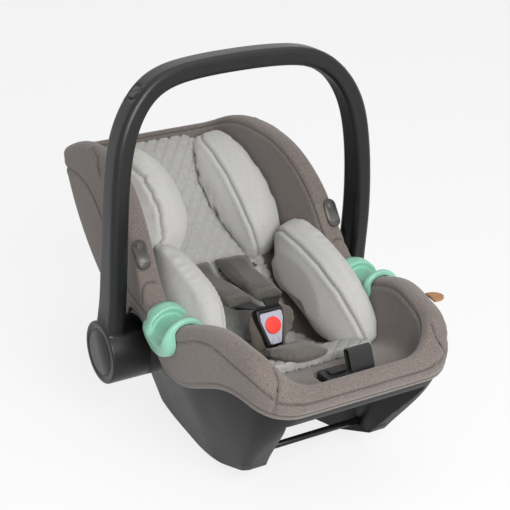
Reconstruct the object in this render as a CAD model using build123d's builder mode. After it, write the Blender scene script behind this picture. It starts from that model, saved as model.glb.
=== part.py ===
from build123d import *
import math
import os

os.makedirs("parts", exist_ok=True)

# Infant car seat. Millimetres, +Z up, +Y towards the head end, origin under
# the middle of the object on the floor, mirror plane X = 0.

# ---- Overall hull: seat widths and ends at rising heights ------------------
HULL_Z = (0, 70, 150, 200, 290, 420)
HULL_FRONT = (-195, -243, -312, -343, -346, -343)
HULL_REAR = (118, 140, 173, 213, 292, 372)
HULL_HALF = (122, 143, 172, 184, 188, 178)
HULL_MID_Y = -110
HULL_TOE = (0.97, 0.96, 0.87, 0.82, 0.80, 0.80)
TOE_RADIUS = (10, 14, 42, 66, 75, 70)
FLANK_RADIUS = 300
HEAD_TAPER = 0.81
HEAD_CORNER = 34
SPAN = 400

# ---- Walls and layers ------------------------------------------------------
FABRIC = 4
LAYER_GAP = 0.5
SHELL_WALL = 3.5
BUCKET_WALL = 3
FOAM_FLOOR = 14
RIM_BAND = 36

# ---- Side-view lines (Y, Z) ------------------------------------------------
RIM_LINE = ((-345, 196), (-330, 206), (-300, 245), (-262, 261), (-210, 267), (-160, 257),
            (-112, 240), (-44, 240), (-15, 262), (30, 330), (64, 366), (100, 390),
            (150, 405), (200, 409), (250, 403), (300, 386), (345, 362), (380, 338))
SEAT_LINE = ((-300, 182), (-230, 178), (-130, 142), (-20, 104), (30, 128), (150, 232), (290, 348), (380, 414))
HEM_LINE = ((-350, 168), (-285, 186), (-235, 188), (-190, 173), (-135, 149), (-70, 132), (0, 126), (150, 126))
BASE_TOP = ((-350, 184), (-285, 203), (-235, 205), (-190, 192), (-120, 186), (-60, 198), (30, 214),
            (110, 226), (200, 282), (290, 346), (380, 362))
ROCKER = ((-245, 52), (-138, 13), (-60, 0), (56, 0), (106, 11), (138, 42), (215, 140))
ROCKER_BENDS = (160, 260, 260, 60, 45)
BELLY_REAR = ((-380, 262), (-60, 92), (60, 82), (240, 98))
SCOOP = ((-150, 302), (-132, 262), (-112, 232), (-92, 217), (92, 217), (112, 232), (132, 262), (150, 302))
SCOOP_SPREAD = -10
SCOOP_END_Y = -262

# ---- Rails and bars --------------------------------------------------------
RAIL_INNER_FOOT = 80
RAIL_INNER_TOP = 118
RAIL_INNER_TOP_Z = 165
RIB_TOP = 70
RIB_THICK = 2.5
RIB_Y = (-150, -90, -30, 30, 90)
BAR_RADIUS = 5
BAR_FIT = 0.1
FRONT_BAR_YZ = (-182, 46)
REAR_BAR_YZ = (98, 52)
BAR_SEAT = 6

def hull_outline(front, rear, half, toe, toe_radius):
    """Closed plan outline: blunt foot end, widest at the guides, narrower head end."""
    with BuildSketch() as outline:
        with BuildLine():
            FilletPolyline(
                (0, front),
                (toe * half, front),
                (half, HULL_MID_Y),
                (HEAD_TAPER * half, rear),
                (0, rear),
                radius=(toe_radius, FLANK_RADIUS, HEAD_CORNER),
            )
            mirror(about=Plane.YZ)
        make_face()
    return outline.sketch


def hull(inset):
    """Seat hull with every side moved in by inset."""
    levels = zip(HULL_Z, HULL_FRONT, HULL_REAR, HULL_HALF, HULL_TOE, TOE_RADIUS)
    with BuildPart() as form:
        for z, front, rear, half, toe, radius in levels:
            with BuildSketch(Plane.XY.offset(z)):
                add(hull_outline(front + inset, rear - inset, half - inset, toe, radius))
        loft()
    return form.part


def lowered(line, drop):
    """A side-view line moved straight down."""
    return tuple((y, z - drop) for y, z in line)


def under(line, bends=None):
    """Everything below a side-view line, across the whole width."""
    first = line[0]
    last = line[-1]
    with BuildPart() as block:
        with BuildSketch(Plane.YZ):
            with BuildLine():
                if bends:
                    FilletPolyline(*line, radius=bends)
                else:
                    Spline(*line)
                Polyline(
                    last,
                    (2 * SPAN, last[1]),
                    (2 * SPAN, -SPAN),
                    (-2 * SPAN, -SPAN),
                    (-2 * SPAN, first[1]),
                    first,
                )
            make_face()
        extrude(amount=SPAN, both=True)
    return block.part


def bar(radius, start, end, center):
    """Round bar along X between two distances, centred on a side-view point."""
    with BuildPart() as rod:
        with BuildSketch(Plane.YZ.offset(start)):
            with Locations(center):
                Circle(radius)
        extrude(amount=end - start)
    return rod.part


def above_front_scoop(drop):
    """Space over the low foot roll, between the two rising wings."""
    with BuildPart() as space:
        with BuildSketch(Plane.XZ.offset(-SCOOP_END_Y)):
            with BuildLine():
                Polyline(*lowered(SCOOP, drop))
                Line((SCOOP[-1][0], SCOOP[-1][1] - drop), (SCOOP[-1][0], SPAN))
                Line((SCOOP[-1][0], SPAN), (SCOOP[0][0], SPAN))
                Line((SCOOP[0][0], SPAN), (SCOOP[0][0], SCOOP[0][1] - drop))
            make_face()
        extrude(amount=SPAN / 4, taper=SCOOP_SPREAD)
    return space.part


# ---- Depths of the layers, from the outside in ----------------------------
SHELL_AT = FABRIC + LAYER_GAP
BUCKET_AT = SHELL_AT + SHELL_WALL + LAYER_GAP
FOAM_AT = BUCKET_AT + BUCKET_WALL + LAYER_GAP
FOAM_IN = RIM_BAND - FABRIC - LAYER_GAP
FOAM_TOP = FABRIC + LAYER_GAP
FOAM_BASE = FOAM_TOP + FOAM_FLOOR
BUCKET_TOP = FOAM_BASE + LAYER_GAP
BUCKET_BASE = BUCKET_TOP + BUCKET_WALL
BELLY_DROP = BUCKET_BASE + LAYER_GAP + SHELL_WALL

# ---- Handle hub: axis and seat-side boss ------------------------------------
HUB_YZ = (33, 149)
# ---- Base shell: rocker rails, belly, ribs and hub pads ---------------------
HUB_RADIUS = 48.5
HUB_PARTING = 168
HUB_PAD_ROOT = 130
BOSS_RADIUS = 11
BOSS_DEPTH = 9
AXLE_HOLE = 169
AXLE_HOLE_DEPTH = 16.2
AXLE_HOLE_RADIUS = 6.1


def channel(wall):
    """Open tunnel between the rails, grown by wall."""
    foot = RAIL_INNER_FOOT + wall
    top = RAIL_INNER_TOP + wall
    with BuildPart() as tunnel:
        with BuildSketch(Plane.XZ):
            with BuildLine():
                Polyline(
                    (-foot, -SPAN / 4),
                    (-foot, 0),
                    (-top, RAIL_INNER_TOP_Z),
                    (top, RAIL_INNER_TOP_Z),
                    (foot, 0),
                    (foot, -SPAN / 4),
                    close=True,
                )
            make_face()
        extrude(amount=SPAN, both=True)
        add(under(lowered(SEAT_LINE, BELLY_DROP - wall)), mode=Mode.INTERSECT)
        add(under(lowered(BELLY_REAR, -wall)), mode=Mode.INTERSECT)
    return tunnel.part


with BuildPart() as base_block:
    add(hull(SHELL_AT))
    add(under(BASE_TOP), mode=Mode.INTERSECT)
    add(under(ROCKER, ROCKER_BENDS), mode=Mode.SUBTRACT)
    for side in (HUB_PAD_ROOT, -HUB_PARTING):
        add(bar(HUB_RADIUS, side, side + HUB_PARTING - HUB_PAD_ROOT, HUB_YZ))

with BuildPart() as base_room:
    add(hull(SHELL_AT + SHELL_WALL))
    add(under(lowered(ROCKER, -SHELL_WALL), ROCKER_BENDS), mode=Mode.SUBTRACT)
    add(channel(SHELL_WALL), mode=Mode.SUBTRACT)

with BuildPart() as rib_slabs:
    with BuildSketch(Plane.YZ):
        for y in RIB_Y:
            with Locations((y, RIB_TOP / 2)):
                Rectangle(RIB_THICK, RIB_TOP)
    extrude(amount=SPAN, both=True)
    add(base_room.part, mode=Mode.INTERSECT)

with BuildPart() as bar_seats:
    for center in (FRONT_BAR_YZ, REAR_BAR_YZ):
        half = RAIL_INNER_FOOT + SHELL_WALL / 2
        add(bar(BOSS_RADIUS, half, half + BOSS_DEPTH + 8, center))
        add(bar(BOSS_RADIUS, -half - BOSS_DEPTH - 8, -half, center))
    add(channel(1), mode=Mode.SUBTRACT)

BAR_HALF = RAIL_INNER_FOOT + SHELL_WALL + BAR_SEAT + 6

with BuildPart() as base_shell:
    add(base_block.part)
    add(base_room.part, mode=Mode.SUBTRACT)
    add(rib_slabs.part)
    add(bar_seats.part)
    add(channel(0), mode=Mode.SUBTRACT)
    for center in (FRONT_BAR_YZ, REAR_BAR_YZ):
        add(bar(BAR_RADIUS + BAR_FIT, -BAR_HALF - 0.2, BAR_HALF + 0.2, center), mode=Mode.SUBTRACT)
    for start in (AXLE_HOLE - AXLE_HOLE_DEPTH, -AXLE_HOLE):
        add(bar(AXLE_HOLE_RADIUS, start, start + AXLE_HOLE_DEPTH, HUB_YZ), mode=Mode.SUBTRACT)

with BuildPart() as front_cross_bar:
    add(bar(BAR_RADIUS, -BAR_HALF, BAR_HALF, FRONT_BAR_YZ))
    chamfer(front_cross_bar.edges(), 0.8)

with BuildPart() as rear_cross_bar:
    add(bar(BAR_RADIUS, -BAR_HALF, BAR_HALF, REAR_BAR_YZ))
    chamfer(rear_cross_bar.edges(), 0.8)
# ---- Carry handle: hoop, liner and hub drums --------------------------------
HOOP_RIGHT = (
    (211, 31, 149),
    (212, 20, 215),
    (211, 8, 300),
    (208, 3, 380),
    (200, 3, 450),
    (182, 7, 506),
    (148, 14, 546),
    (98, 20, 563),
)
HOOP_TOP = (0, 24, 568)
ARM_DEPTH = 50
GRIP_DEPTH = 40
HOOP_THICK = 28
HOOP_ROUND = 9
HANDLE_WALL = 3
LINER_WALL = 2.5
LINER_GAP = 0.3
WINDOW_INSET = 10.5
HOOP_STATIONS = 16
HOLLOW_START = 0.046
HOLLOW_ROUND = 6
LINER_START = 0.071
WINDOW_START = LINER_START - 0.0004
HUB_FACE = 229
HUB_RUN = 0.3
HUB_EDGE = 3
CAP_RADIUS = 35
CAP_THICK = 4
CAP_FIT = 0.15

hoop_points = (*HOOP_RIGHT, HOOP_TOP, *((-x, y, z) for x, y, z in reversed(HOOP_RIGHT)))
with BuildLine() as hoop_path:
    Spline(*hoop_points)
hoop = hoop_path.line


def hoop_plane(t, rise=0):
    """Plane across the hoop: X fore and aft, Y outwards, Z along the hoop."""
    station = Plane(origin=hoop @ t, x_dir=(0, -1, 0), z_dir=hoop % t)
    return station.offset(0) if rise == 0 else Plane(
        origin=station.origin + station.y_dir * rise, x_dir=station.x_dir, z_dir=station.z_dir
    )


def hoop_depth(t):
    """Fore-and-aft width of the hoop, slimmer towards the grip."""
    return GRIP_DEPTH + (ARM_DEPTH - GRIP_DEPTH) * abs(2 * t - 1) ** 2


def hoop_loft(start, inset, low, high, corner):
    """Rounded bar lofted along the hoop between two heights from its middle line."""
    with BuildPart() as form:
        for step in range(HOOP_STATIONS + 1):
            t = start + (1 - 2 * start) * step / HOOP_STATIONS
            with BuildSketch(hoop_plane(t)):
                with Locations((0, (low + high) / 2)):
                    if corner:
                        RectangleRounded(hoop_depth(t) - 2 * inset, high - low, corner)
                    else:
                        Rectangle(hoop_depth(t) - 2 * inset, high - low)
        loft()
    return form.part


# ---- Hub lock: ring on the seat, sliding gear in the handle ------------------
RING_RADIUS = 41
RING_RUN = 0.08
RING_LENGTH = 10.5
RING_ROOT = 31.5
RING_BORE = 28
GEAR_TEETH = 16
GEAR_ROOT = 23.5
GEAR_TIP = 27.5
TOOTH_ROOT_WIDTH = 6
TOOTH_TIP_WIDTH = 3.6
TOOTH_GAP = 0.3
GEAR_IN = 173
GEAR_OUT = 197
GEAR_TRAVEL = 6
WEB_IN = 185
WEB_OUT = 198
SPRING_POCKET = 30
AXLE_RADIUS = 6
AXLE_FIT = 0.1
AXLE_ROOT = 153
AXLE_TIP = 214
AXLE_HEAD = 10
AXLE_HEAD_LENGTH = 3
SPRING_MEAN = 13
SPRING_WIRE = 2
SPRING_TURNS = 4
SPRING_SEAT = 6
RING_TOOTH = 6
RING_TOOTH_DEPTH = 6
SKIRT = 5
SKIRT_WALL = 1.6
BUTTON_SPRING = 3
BUTTON_SPRING_RADIUS = 6
CABLE_RADIUS = 1.5
CABLE_HOLE = CABLE_RADIUS + LINER_GAP
CABLE_HOLE_START = 20
CABLE_X = 211
CABLE_HUB_Y = 33

HALF_THICK = HOOP_THICK / 2
ROOM_HALF = HALF_THICK - HANDLE_WALL


def gear_prism(start, end, grow):
    """Toothed prism along X, with every face moved out by grow."""
    root = TOOTH_ROOT_WIDTH / 2 + grow
    tip = TOOTH_TIP_WIDTH / 2 + grow
    reach = GEAR_TIP + grow
    with BuildPart() as gear:
        with BuildSketch(Plane.YZ.offset(start)):
            with Locations(HUB_YZ):
                Circle(GEAR_ROOT + grow)
                with PolarLocations(0, GEAR_TEETH):
                    Polygon(
                        (0, -root),
                        (GEAR_ROOT, -root),
                        (reach, -tip),
                        (reach, tip),
                        (GEAR_ROOT, root),
                        (0, root),
                        align=None,
                    )
        extrude(amount=end - start)
    return gear.part


def hub_bar(radius, start, end):
    """Round bar on the hub axis of the right-hand side."""
    return bar(radius, start, end, HUB_YZ)


with BuildPart() as hub_drum:
    add(hub_bar(HUB_RADIUS, HUB_PARTING + HUB_RUN, HUB_FACE))
    fillet(hub_drum.edges().sort_by(Axis.X)[-1], HUB_EDGE)

with BuildPart() as hub_bores:
    add(hub_bar(RING_RADIUS + RING_RUN, HUB_PARTING, WEB_IN))
    add(gear_prism(WEB_IN, WEB_OUT, TOOTH_GAP))
    add(hub_bar(SPRING_POCKET, WEB_OUT, HUB_FACE))
    add(hub_bar(CAP_RADIUS + CAP_FIT, HUB_FACE - CAP_THICK, HUB_FACE + 1))
    with BuildSketch(Plane.XY.offset(HUB_YZ[1] + CABLE_HOLE_START)):
        with Locations((CABLE_X, CABLE_HUB_Y)):
            Circle(CABLE_HOLE)
    extrude(amount=HUB_RADIUS + 6 - CABLE_HOLE_START)

# Thumb button in each upper corner: a scooped recess with a square plunger.
BUTTON_AT = 0.355
BUTTON_SIZE = 19
BUTTON_ROUND = 4
BUTTON_GAP = 0.3
BUTTON_HOLE = BUTTON_SIZE + 2 * BUTTON_GAP
BUTTON_PROUD = -1
BUTTON_DEPTH = 15
BUTTON_FLANGE = 25
BUTTON_FLANGE_THICK = 2
BUTTON_TRAVEL = 4
SCOOP_RADIUS = 26
SCOOP_RISE = 20
BUTTON_BLOCK = 31
BUTTON_BLOCK_DEPTH = 14
BLOCK_COVER = 2.5
button_plane = hoop_plane(BUTTON_AT, HALF_THICK)
button_plane = Plane(origin=button_plane.origin, x_dir=button_plane.x_dir, z_dir=button_plane.y_dir)

with BuildPart() as button_block:
    with BuildSketch(button_plane.offset(-BUTTON_BLOCK_DEPTH)):
        Rectangle(BUTTON_BLOCK, BUTTON_BLOCK)
    extrude(amount=BUTTON_BLOCK_DEPTH - BLOCK_COVER)

with BuildPart() as button_cut:
    with BuildSketch(button_plane.offset(-HALF_THICK)):
        RectangleRounded(BUTTON_HOLE, BUTTON_HOLE, BUTTON_ROUND + BUTTON_GAP)
    extrude(amount=HOOP_THICK)
    with Locations(button_plane.offset(SCOOP_RISE)):
        Sphere(SCOOP_RADIUS)

with BuildPart() as handle_shell:
    add(hoop_loft(0, 0, -HALF_THICK, HALF_THICK, HOOP_ROUND))
    add(hoop_loft(HOLLOW_START, HANDLE_WALL, -ROOM_HALF, ROOM_HALF, HOLLOW_ROUND), mode=Mode.SUBTRACT)
    add(hoop_loft(WINDOW_START, WINDOW_INSET, -HALF_THICK - 1, 1 - ROOM_HALF, 0), mode=Mode.SUBTRACT)
    for piece in (hub_drum, button_block):
        add(piece.part)
        add(piece.part.mirror(Plane.YZ))
    for piece in (hub_bores, button_cut):
        add(piece.part, mode=Mode.SUBTRACT)
        add(piece.part.mirror(Plane.YZ), mode=Mode.SUBTRACT)

with BuildPart() as handle_liner:
    add(hoop_loft(LINER_START, WINDOW_INSET + LINER_GAP, -HALF_THICK, LINER_WALL - HALF_THICK, 0))

with BuildPart() as hub_ring_right:
    add(hub_bar(RING_RADIUS, HUB_PARTING, HUB_PARTING + RING_LENGTH))
    add(hub_bar(RING_BORE, HUB_PARTING - 1, HUB_PARTING + RING_LENGTH + 1), mode=Mode.SUBTRACT)
    with BuildSketch(Plane.YZ.offset(HUB_PARTING)):
        with Locations(HUB_YZ):
            with PolarLocations(RING_ROOT - RING_TOOTH_DEPTH / 2, GEAR_TEETH):
                Rectangle(RING_TOOTH_DEPTH, RING_TOOTH)
    extrude(amount=RING_LENGTH, mode=Mode.SUBTRACT)

with BuildPart() as lock_gear_right:
    add(gear_prism(GEAR_IN, GEAR_OUT, 0))
    add(hub_bar(AXLE_RADIUS + AXLE_FIT, GEAR_IN - 1, GEAR_OUT + 1), mode=Mode.SUBTRACT)
    add(hub_bar(SPRING_MEAN + SPRING_WIRE + 1, GEAR_OUT - SPRING_SEAT, GEAR_OUT + 1), mode=Mode.SUBTRACT)
    add(hub_bar(SPRING_MEAN - SPRING_WIRE - 2, GEAR_OUT - SPRING_SEAT, GEAR_OUT))
    add(hub_bar(AXLE_RADIUS + AXLE_FIT, GEAR_OUT - SPRING_SEAT - 1, GEAR_OUT + 1), mode=Mode.SUBTRACT)

with BuildPart() as hub_axle_right:
    add(hub_bar(AXLE_RADIUS, AXLE_ROOT, AXLE_TIP))
    add(hub_bar(AXLE_HEAD, AXLE_TIP, AXLE_TIP + AXLE_HEAD_LENGTH))
    chamfer(hub_axle_right.edges().sort_by(Axis.X)[-1], 1)

SPRING_START = GEAR_OUT - SPRING_SEAT + SPRING_WIRE / 2 + LINER_GAP
SPRING_END = HUB_FACE - CAP_THICK - GEAR_TRAVEL - SPRING_WIRE - LAYER_GAP
with BuildPart() as lock_spring_right:
    with BuildLine() as coil:
        Helix(
            (SPRING_END - SPRING_START) / SPRING_TURNS,
            SPRING_END - SPRING_START,
            SPRING_MEAN,
            center=(SPRING_START, *HUB_YZ),
            direction=(1, 0, 0),
        )
    with BuildSketch(Plane(origin=coil.line @ 0, z_dir=coil.line % 0)):
        Rectangle(SPRING_WIRE, SPRING_WIRE)
    sweep(is_frenet=True)

with BuildPart() as hub_cap_right:
    add(hub_bar(CAP_RADIUS, HUB_FACE - CAP_THICK, HUB_FACE + 0.6))
    chamfer(hub_cap_right.edges().sort_by(Axis.X)[-1], 1)
    add(hub_bar(SPRING_POCKET - CAP_FIT, HUB_FACE - CAP_THICK - SKIRT, HUB_FACE - CAP_THICK))
    add(
        hub_bar(SPRING_POCKET - CAP_FIT - SKIRT_WALL, HUB_FACE - CAP_THICK - SKIRT - 1, HUB_FACE - CAP_THICK),
        mode=Mode.SUBTRACT,
    )

with BuildPart() as handle_button_right:
    with BuildSketch(button_plane.offset(-BUTTON_DEPTH)):
        RectangleRounded(BUTTON_SIZE, BUTTON_SIZE, BUTTON_ROUND)
    extrude(amount=BUTTON_DEPTH + BUTTON_PROUD)
    with BuildSketch(button_plane.offset(-BUTTON_DEPTH - BUTTON_FLANGE_THICK)):
        Rectangle(BUTTON_FLANGE, BUTTON_FLANGE)
    extrude(amount=BUTTON_FLANGE_THICK)

with BuildPart() as button_spring_right:
    with BuildSketch(button_plane.offset(-BUTTON_DEPTH - BUTTON_FLANGE_THICK - BUTTON_SPRING)):
        Circle(BUTTON_SPRING_RADIUS)
        Circle(BUTTON_SPRING_RADIUS - SPRING_WIRE, mode=Mode.SUBTRACT)
    extrude(amount=BUTTON_SPRING)

CABLE_ENDS = ((CABLE_X, CABLE_HUB_Y, 176), (CABLE_X, CABLE_HUB_Y, 218))
CABLE_STATIONS = (0.13, 0.19, 0.25, 0.3, 0.332)
cable_route = [Vector(*point) for point in CABLE_ENDS] + [hoop @ t for t in CABLE_STATIONS]


def bend_radii(route):
    """Largest tangent arc at each inner point of a cable route."""
    radii = []
    for before, here, after in zip(route, route[1:], route[2:]):
        shorter = min((here - before).length, (after - here).length)
        turn = math.radians((here - before).get_angle(after - here))
        radii.append(0.45 * shorter / math.tan(turn / 2))
    return radii


print("cable radii", [round(radius) for radius in bend_radii(cable_route)])
with BuildPart() as release_cable_right:
    with BuildLine() as cable_line:
        FilletPolyline(*cable_route, radius=bend_radii(cable_route))
    with BuildSketch(Plane(origin=cable_line.line @ 0, z_dir=cable_line.line % 0)):
        Circle(CABLE_RADIUS)
    sweep()

# ---- Newborn insert --------------------------------------------------------
SOFT_GAP = 0.6
GUIDE_WALL = 2.6
PAD_THICK = 15
SEAT_PAD_Y = (-229, -1)
SEAT_PAD_HALF = 84
BACK_PAD_Y = (1, 284)
BACK_PAD_HALF = 69
PAD_CORNER = 24
CROTCH_SLOT = (44, 26)
CROTCH_SLOT_Y = -101
STRAP_SLOT_X = 36
STRAP_SLOT_Y = 104
YOKE_THICK = 2
STRAP_SLOT = (44, 12)
LOBE_ROUND = 9
LOBE_BACK_X = 150
LOBE_FOOT_DROP = 25
LOBE_PARTING_Y = 93
BACK_LEAN = 39.6
BACK_FOOT = (200, 276)
HEAD_PAD_CROWN_X = 102
# Along the back: how far up it, inner foot X, ridge X and height, crown and outer height.
HEAD_PAD_ROWS = (
    (-129, 84, 92, 20, 22, 18),
    (-114, 74, 83, 34, 39, 27),
    (-84, 57, 73, 56, 64, 48),
    (-39, 43, 69, 66, 80, 72),
    (13, 38, 69, 64, 80, 78),
    (65, 43, 70, 52, 68, 66),
    (104, 58, 74, 32, 46, 44),
    (124, 76, 84, 20, 26, 24),
)
# Along Y: foot X, ridge X and Z, top X and Z.
BOLSTER_LOW = 90
BOLSTER_BACK_X = 139
BOLSTER_ROWS = (
    (-174, 104, 112, 164, 122, 172),
    (-152, 92, 106, 192, 124, 210),
    (-110, 87, 101, 227, 126, 247),
    (-55, 86, 100, 251, 128, 273),
    (0, 87, 101, 264, 130, 288),
    (55, 91, 103, 270, 130, 290),
    (82, 98, 108, 260, 128, 274),
    (LOBE_PARTING_Y, 106, 113, 242, 124, 251),
)


def floor_pad(low, high, y_range, half, corner):
    """Flat pad that follows the seat line between two heights above it."""
    length = y_range[1] - y_range[0]
    with BuildPart() as pad:
        with BuildSketch(Plane.XY):
            with Locations((0, (y_range[0] + y_range[1]) / 2)):
                RectangleRounded(2 * half, length, corner)
        extrude(amount=SPAN + 50)
        add(under(lowered(SEAT_LINE, -high)), mode=Mode.INTERSECT)
        add(under(lowered(SEAT_LINE, -low)), mode=Mode.SUBTRACT)
        add(hull(RIM_BAND + SOFT_GAP), mode=Mode.INTERSECT)
    return pad.part


def head_pad_section(inner, ridge, ridge_high, crown_high, outer_high):
    """Corners of a head pad's section: across X, and up from the back."""
    return (
        (inner, -LOBE_FOOT_DROP),
        (inner, PAD_THICK),
        (ridge, ridge_high),
        (HEAD_PAD_CROWN_X, crown_high),
        (LOBE_BACK_X, outer_high),
        (LOBE_BACK_X, -LOBE_FOOT_DROP),
    )


def bolster_section(foot, ridge, ridge_z, top, top_z):
    """Corners of a bolster's section, in X and Z."""
    return (
        (foot, BOLSTER_LOW),
        (foot, (BOLSTER_LOW + ridge_z) / 2),
        (ridge, ridge_z),
        (top, top_z),
        (BOLSTER_BACK_X, top_z - LOBE_ROUND),
        (BOLSTER_BACK_X, BOLSTER_LOW),
    )


def lobe(planes, sections):
    """Stuffed lobe lofted through rounded sections, clear of the wall and the bowl."""
    with BuildPart() as stuffed:
        for plane, corners in zip(planes, sections):
            with BuildSketch(plane):
                with BuildLine():
                    FilletPolyline(*corners, radius=LOBE_ROUND / 2, close=True)
                make_face()
        loft()
        add(hull(RIM_BAND + GUIDE_WALL + 2 * SOFT_GAP), mode=Mode.INTERSECT)
        add(under(lowered(SEAT_LINE, -SOFT_GAP)), mode=Mode.SUBTRACT)
    return stuffed.part


def upright_slot(center, size, height=SPAN):
    """Tall box for a slot through pads, foam and bucket."""
    with BuildPart() as slot:
        with BuildSketch(Plane.XY):
            with Locations(center):
                Rectangle(*size)
        extrude(amount=height)
    return slot.part


with BuildPart() as insert_seat_pad:
    add(floor_pad(SOFT_GAP, SOFT_GAP + PAD_THICK, SEAT_PAD_Y, SEAT_PAD_HALF, PAD_CORNER))
    add(upright_slot((0, CROTCH_SLOT_Y), CROTCH_SLOT), mode=Mode.SUBTRACT)

with BuildPart() as insert_back_pad:
    add(floor_pad(SOFT_GAP, SOFT_GAP + PAD_THICK, BACK_PAD_Y, BACK_PAD_HALF, PAD_CORNER))
    for x in (-STRAP_SLOT_X, STRAP_SLOT_X):
        add(upright_slot((x, STRAP_SLOT_Y), STRAP_SLOT), mode=Mode.SUBTRACT)

back_way = Plane(
    origin=(0, *BACK_FOOT),
    x_dir=(1, 0, 0),
    z_dir=(0, -math.cos(math.radians(BACK_LEAN)), -math.sin(math.radians(BACK_LEAN))),
)
with BuildPart() as insert_head_pad_right:
    planes = [back_way.offset(-row[0]) for row in HEAD_PAD_ROWS]
    add(lobe(planes, [head_pad_section(*row[1:]) for row in HEAD_PAD_ROWS]))
    split(bisect_by=Plane.XZ.offset(-LOBE_PARTING_Y - SOFT_GAP), keep=Keep.BOTTOM)
    reach = (BACK_PAD_Y[0], BACK_PAD_Y[1] + SOFT_GAP)
    add(floor_pad(0, PAD_THICK + 2 * SOFT_GAP, reach, BACK_PAD_HALF + SOFT_GAP, PAD_CORNER), mode=Mode.SUBTRACT)

with BuildPart() as insert_bolster_right:
    planes = [Plane.XZ.offset(-row[0]) for row in BOLSTER_ROWS]
    add(lobe(planes, [bolster_section(*row[1:]) for row in BOLSTER_ROWS]))

# ---- Harness: pads, webbing, tongues, buckle and front adjuster -------------
WEB_WIDTH = 38
WEB_THICK = 1.6
WEB_GAP = 0.4
STRAP_HIGH = (STRAP_SLOT_X + 1, STRAP_SLOT_Y, 214)
STRAP_LOW = (25, -40, 207)
SHOULDER_PAD_LENGTH = 118
SHOULDER_PAD_LOW = (47, 9)
SHOULDER_PAD_HIGH = (60, 12)
SHOULDER_PAD_ROUND = 4
SHOULDER_PAD_START = 2
BUCKLE_FACE = (0, -87, 190)
BUCKLE_LEAN = 22
BUCKLE_TOP = 24
BUCKLE_FOOT = -34
BUCKLE_TOP_HALF = 23
BUCKLE_FOOT_HALF = 13
BUCKLE_DEEP = 19
FACE_THICK = 2
FACE_INSET = 4
RED_RADIUS = 13
RED_FIT = 0.25
RED_PROUD = 2.2
RED_DEEP = 6
RED_TRAVEL = 3.5
RED_AT = 6
TONGUE_SLOT = (40, 4, 13)
TONGUE_BLADE = (15, 2.2)
TONGUE_GRIP = (24, 9)
TONGUE_X = 9.5

run = Vector(*STRAP_HIGH) - Vector(*STRAP_LOW)
strap_side = Vector(0, 0, 1).cross(run).normalized()
strap_plane = Plane(origin=STRAP_LOW, x_dir=-strap_side, z_dir=run)
lean = math.radians(BUCKLE_LEAN)
buckle_plane = Plane(origin=BUCKLE_FACE, x_dir=(1, 0, 0), z_dir=(0, -math.cos(lean), math.sin(lean)))
buckle_top_plane = Plane(
    origin=buckle_plane.origin + buckle_plane.y_dir * BUCKLE_TOP - buckle_plane.z_dir * BUCKLE_DEEP / 2,
    x_dir=(1, 0, 0),
    z_dir=buckle_plane.y_dir,
)

with BuildPart() as shoulder_strap_right:
    with BuildSketch(strap_plane.offset(-1)):
        Rectangle(WEB_WIDTH, WEB_THICK)
    extrude(amount=run.length + 1)
    with BuildSketch(Plane.XY.offset(60)):
        with Locations((STRAP_HIGH[0], STRAP_HIGH[1])):
            Rectangle(WEB_WIDTH, WEB_THICK)
    extrude(amount=STRAP_HIGH[2] - 60 + WEB_THICK / 2)
    add(under(lowered(SEAT_LINE, FOAM_BASE - YOKE_THICK - 2 * WEB_GAP)), mode=Mode.SUBTRACT)

with BuildPart() as shoulder_pad_right:
    with BuildSketch(strap_plane.offset(SHOULDER_PAD_START)):
        RectangleRounded(*SHOULDER_PAD_LOW, SHOULDER_PAD_ROUND)
    with BuildSketch(strap_plane.offset(SHOULDER_PAD_START + SHOULDER_PAD_LENGTH)):
        RectangleRounded(*SHOULDER_PAD_HIGH, SHOULDER_PAD_ROUND)
    loft()
    with BuildSketch(strap_plane):
        Rectangle(WEB_WIDTH + 2 * WEB_GAP, WEB_THICK + 2 * WEB_GAP)
    extrude(amount=SHOULDER_PAD_LENGTH + 2 * SHOULDER_PAD_START, mode=Mode.SUBTRACT)

tongue_run = Vector(*STRAP_LOW) - (buckle_top_plane.origin + Vector(TONGUE_X, 0, 0))
with BuildPart() as buckle_tongue_right:
    with BuildSketch(buckle_top_plane.offset(0.4)):
        with Locations((TONGUE_X, 0)):
            RectangleRounded(17, 8, 2)
    with BuildSketch(strap_plane.offset(-1.6)):
        RectangleRounded(WEB_WIDTH - 8, 6, 2)
    loft()
    with BuildSketch(buckle_top_plane.offset(-TONGUE_SLOT[2] + 1)):
        with Locations((TONGUE_X, 0)):
            Rectangle(*TONGUE_BLADE)
    extrude(amount=TONGUE_SLOT[2])

with BuildPart() as buckle_housing:
    with BuildSketch(buckle_plane.offset(-BUCKLE_DEEP)):
        with BuildLine():
            FilletPolyline(
                (0, BUCKLE_TOP),
                (BUCKLE_TOP_HALF, BUCKLE_TOP),
                (BUCKLE_TOP_HALF, 8),
                (BUCKLE_FOOT_HALF, BUCKLE_FOOT),
                (0, BUCKLE_FOOT),
                radius=(5, 16, 4),
            )
            mirror(about=Plane.YZ)
        make_face()
    extrude(amount=BUCKLE_DEEP - FACE_THICK)
    fillet(buckle_housing.faces().sort_by(Axis.Y)[-1].edges(), 3)
    with BuildSketch(buckle_top_plane):
        Rectangle(TONGUE_SLOT[0], TONGUE_SLOT[1])
    extrude(amount=-TONGUE_SLOT[2], mode=Mode.SUBTRACT)
    with BuildSketch(buckle_plane.offset(-FACE_THICK)):
        with Locations((0, RED_AT - 8)):
            Circle(RED_RADIUS + RED_FIT)
    extrude(amount=-RED_DEEP, mode=Mode.SUBTRACT)

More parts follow.
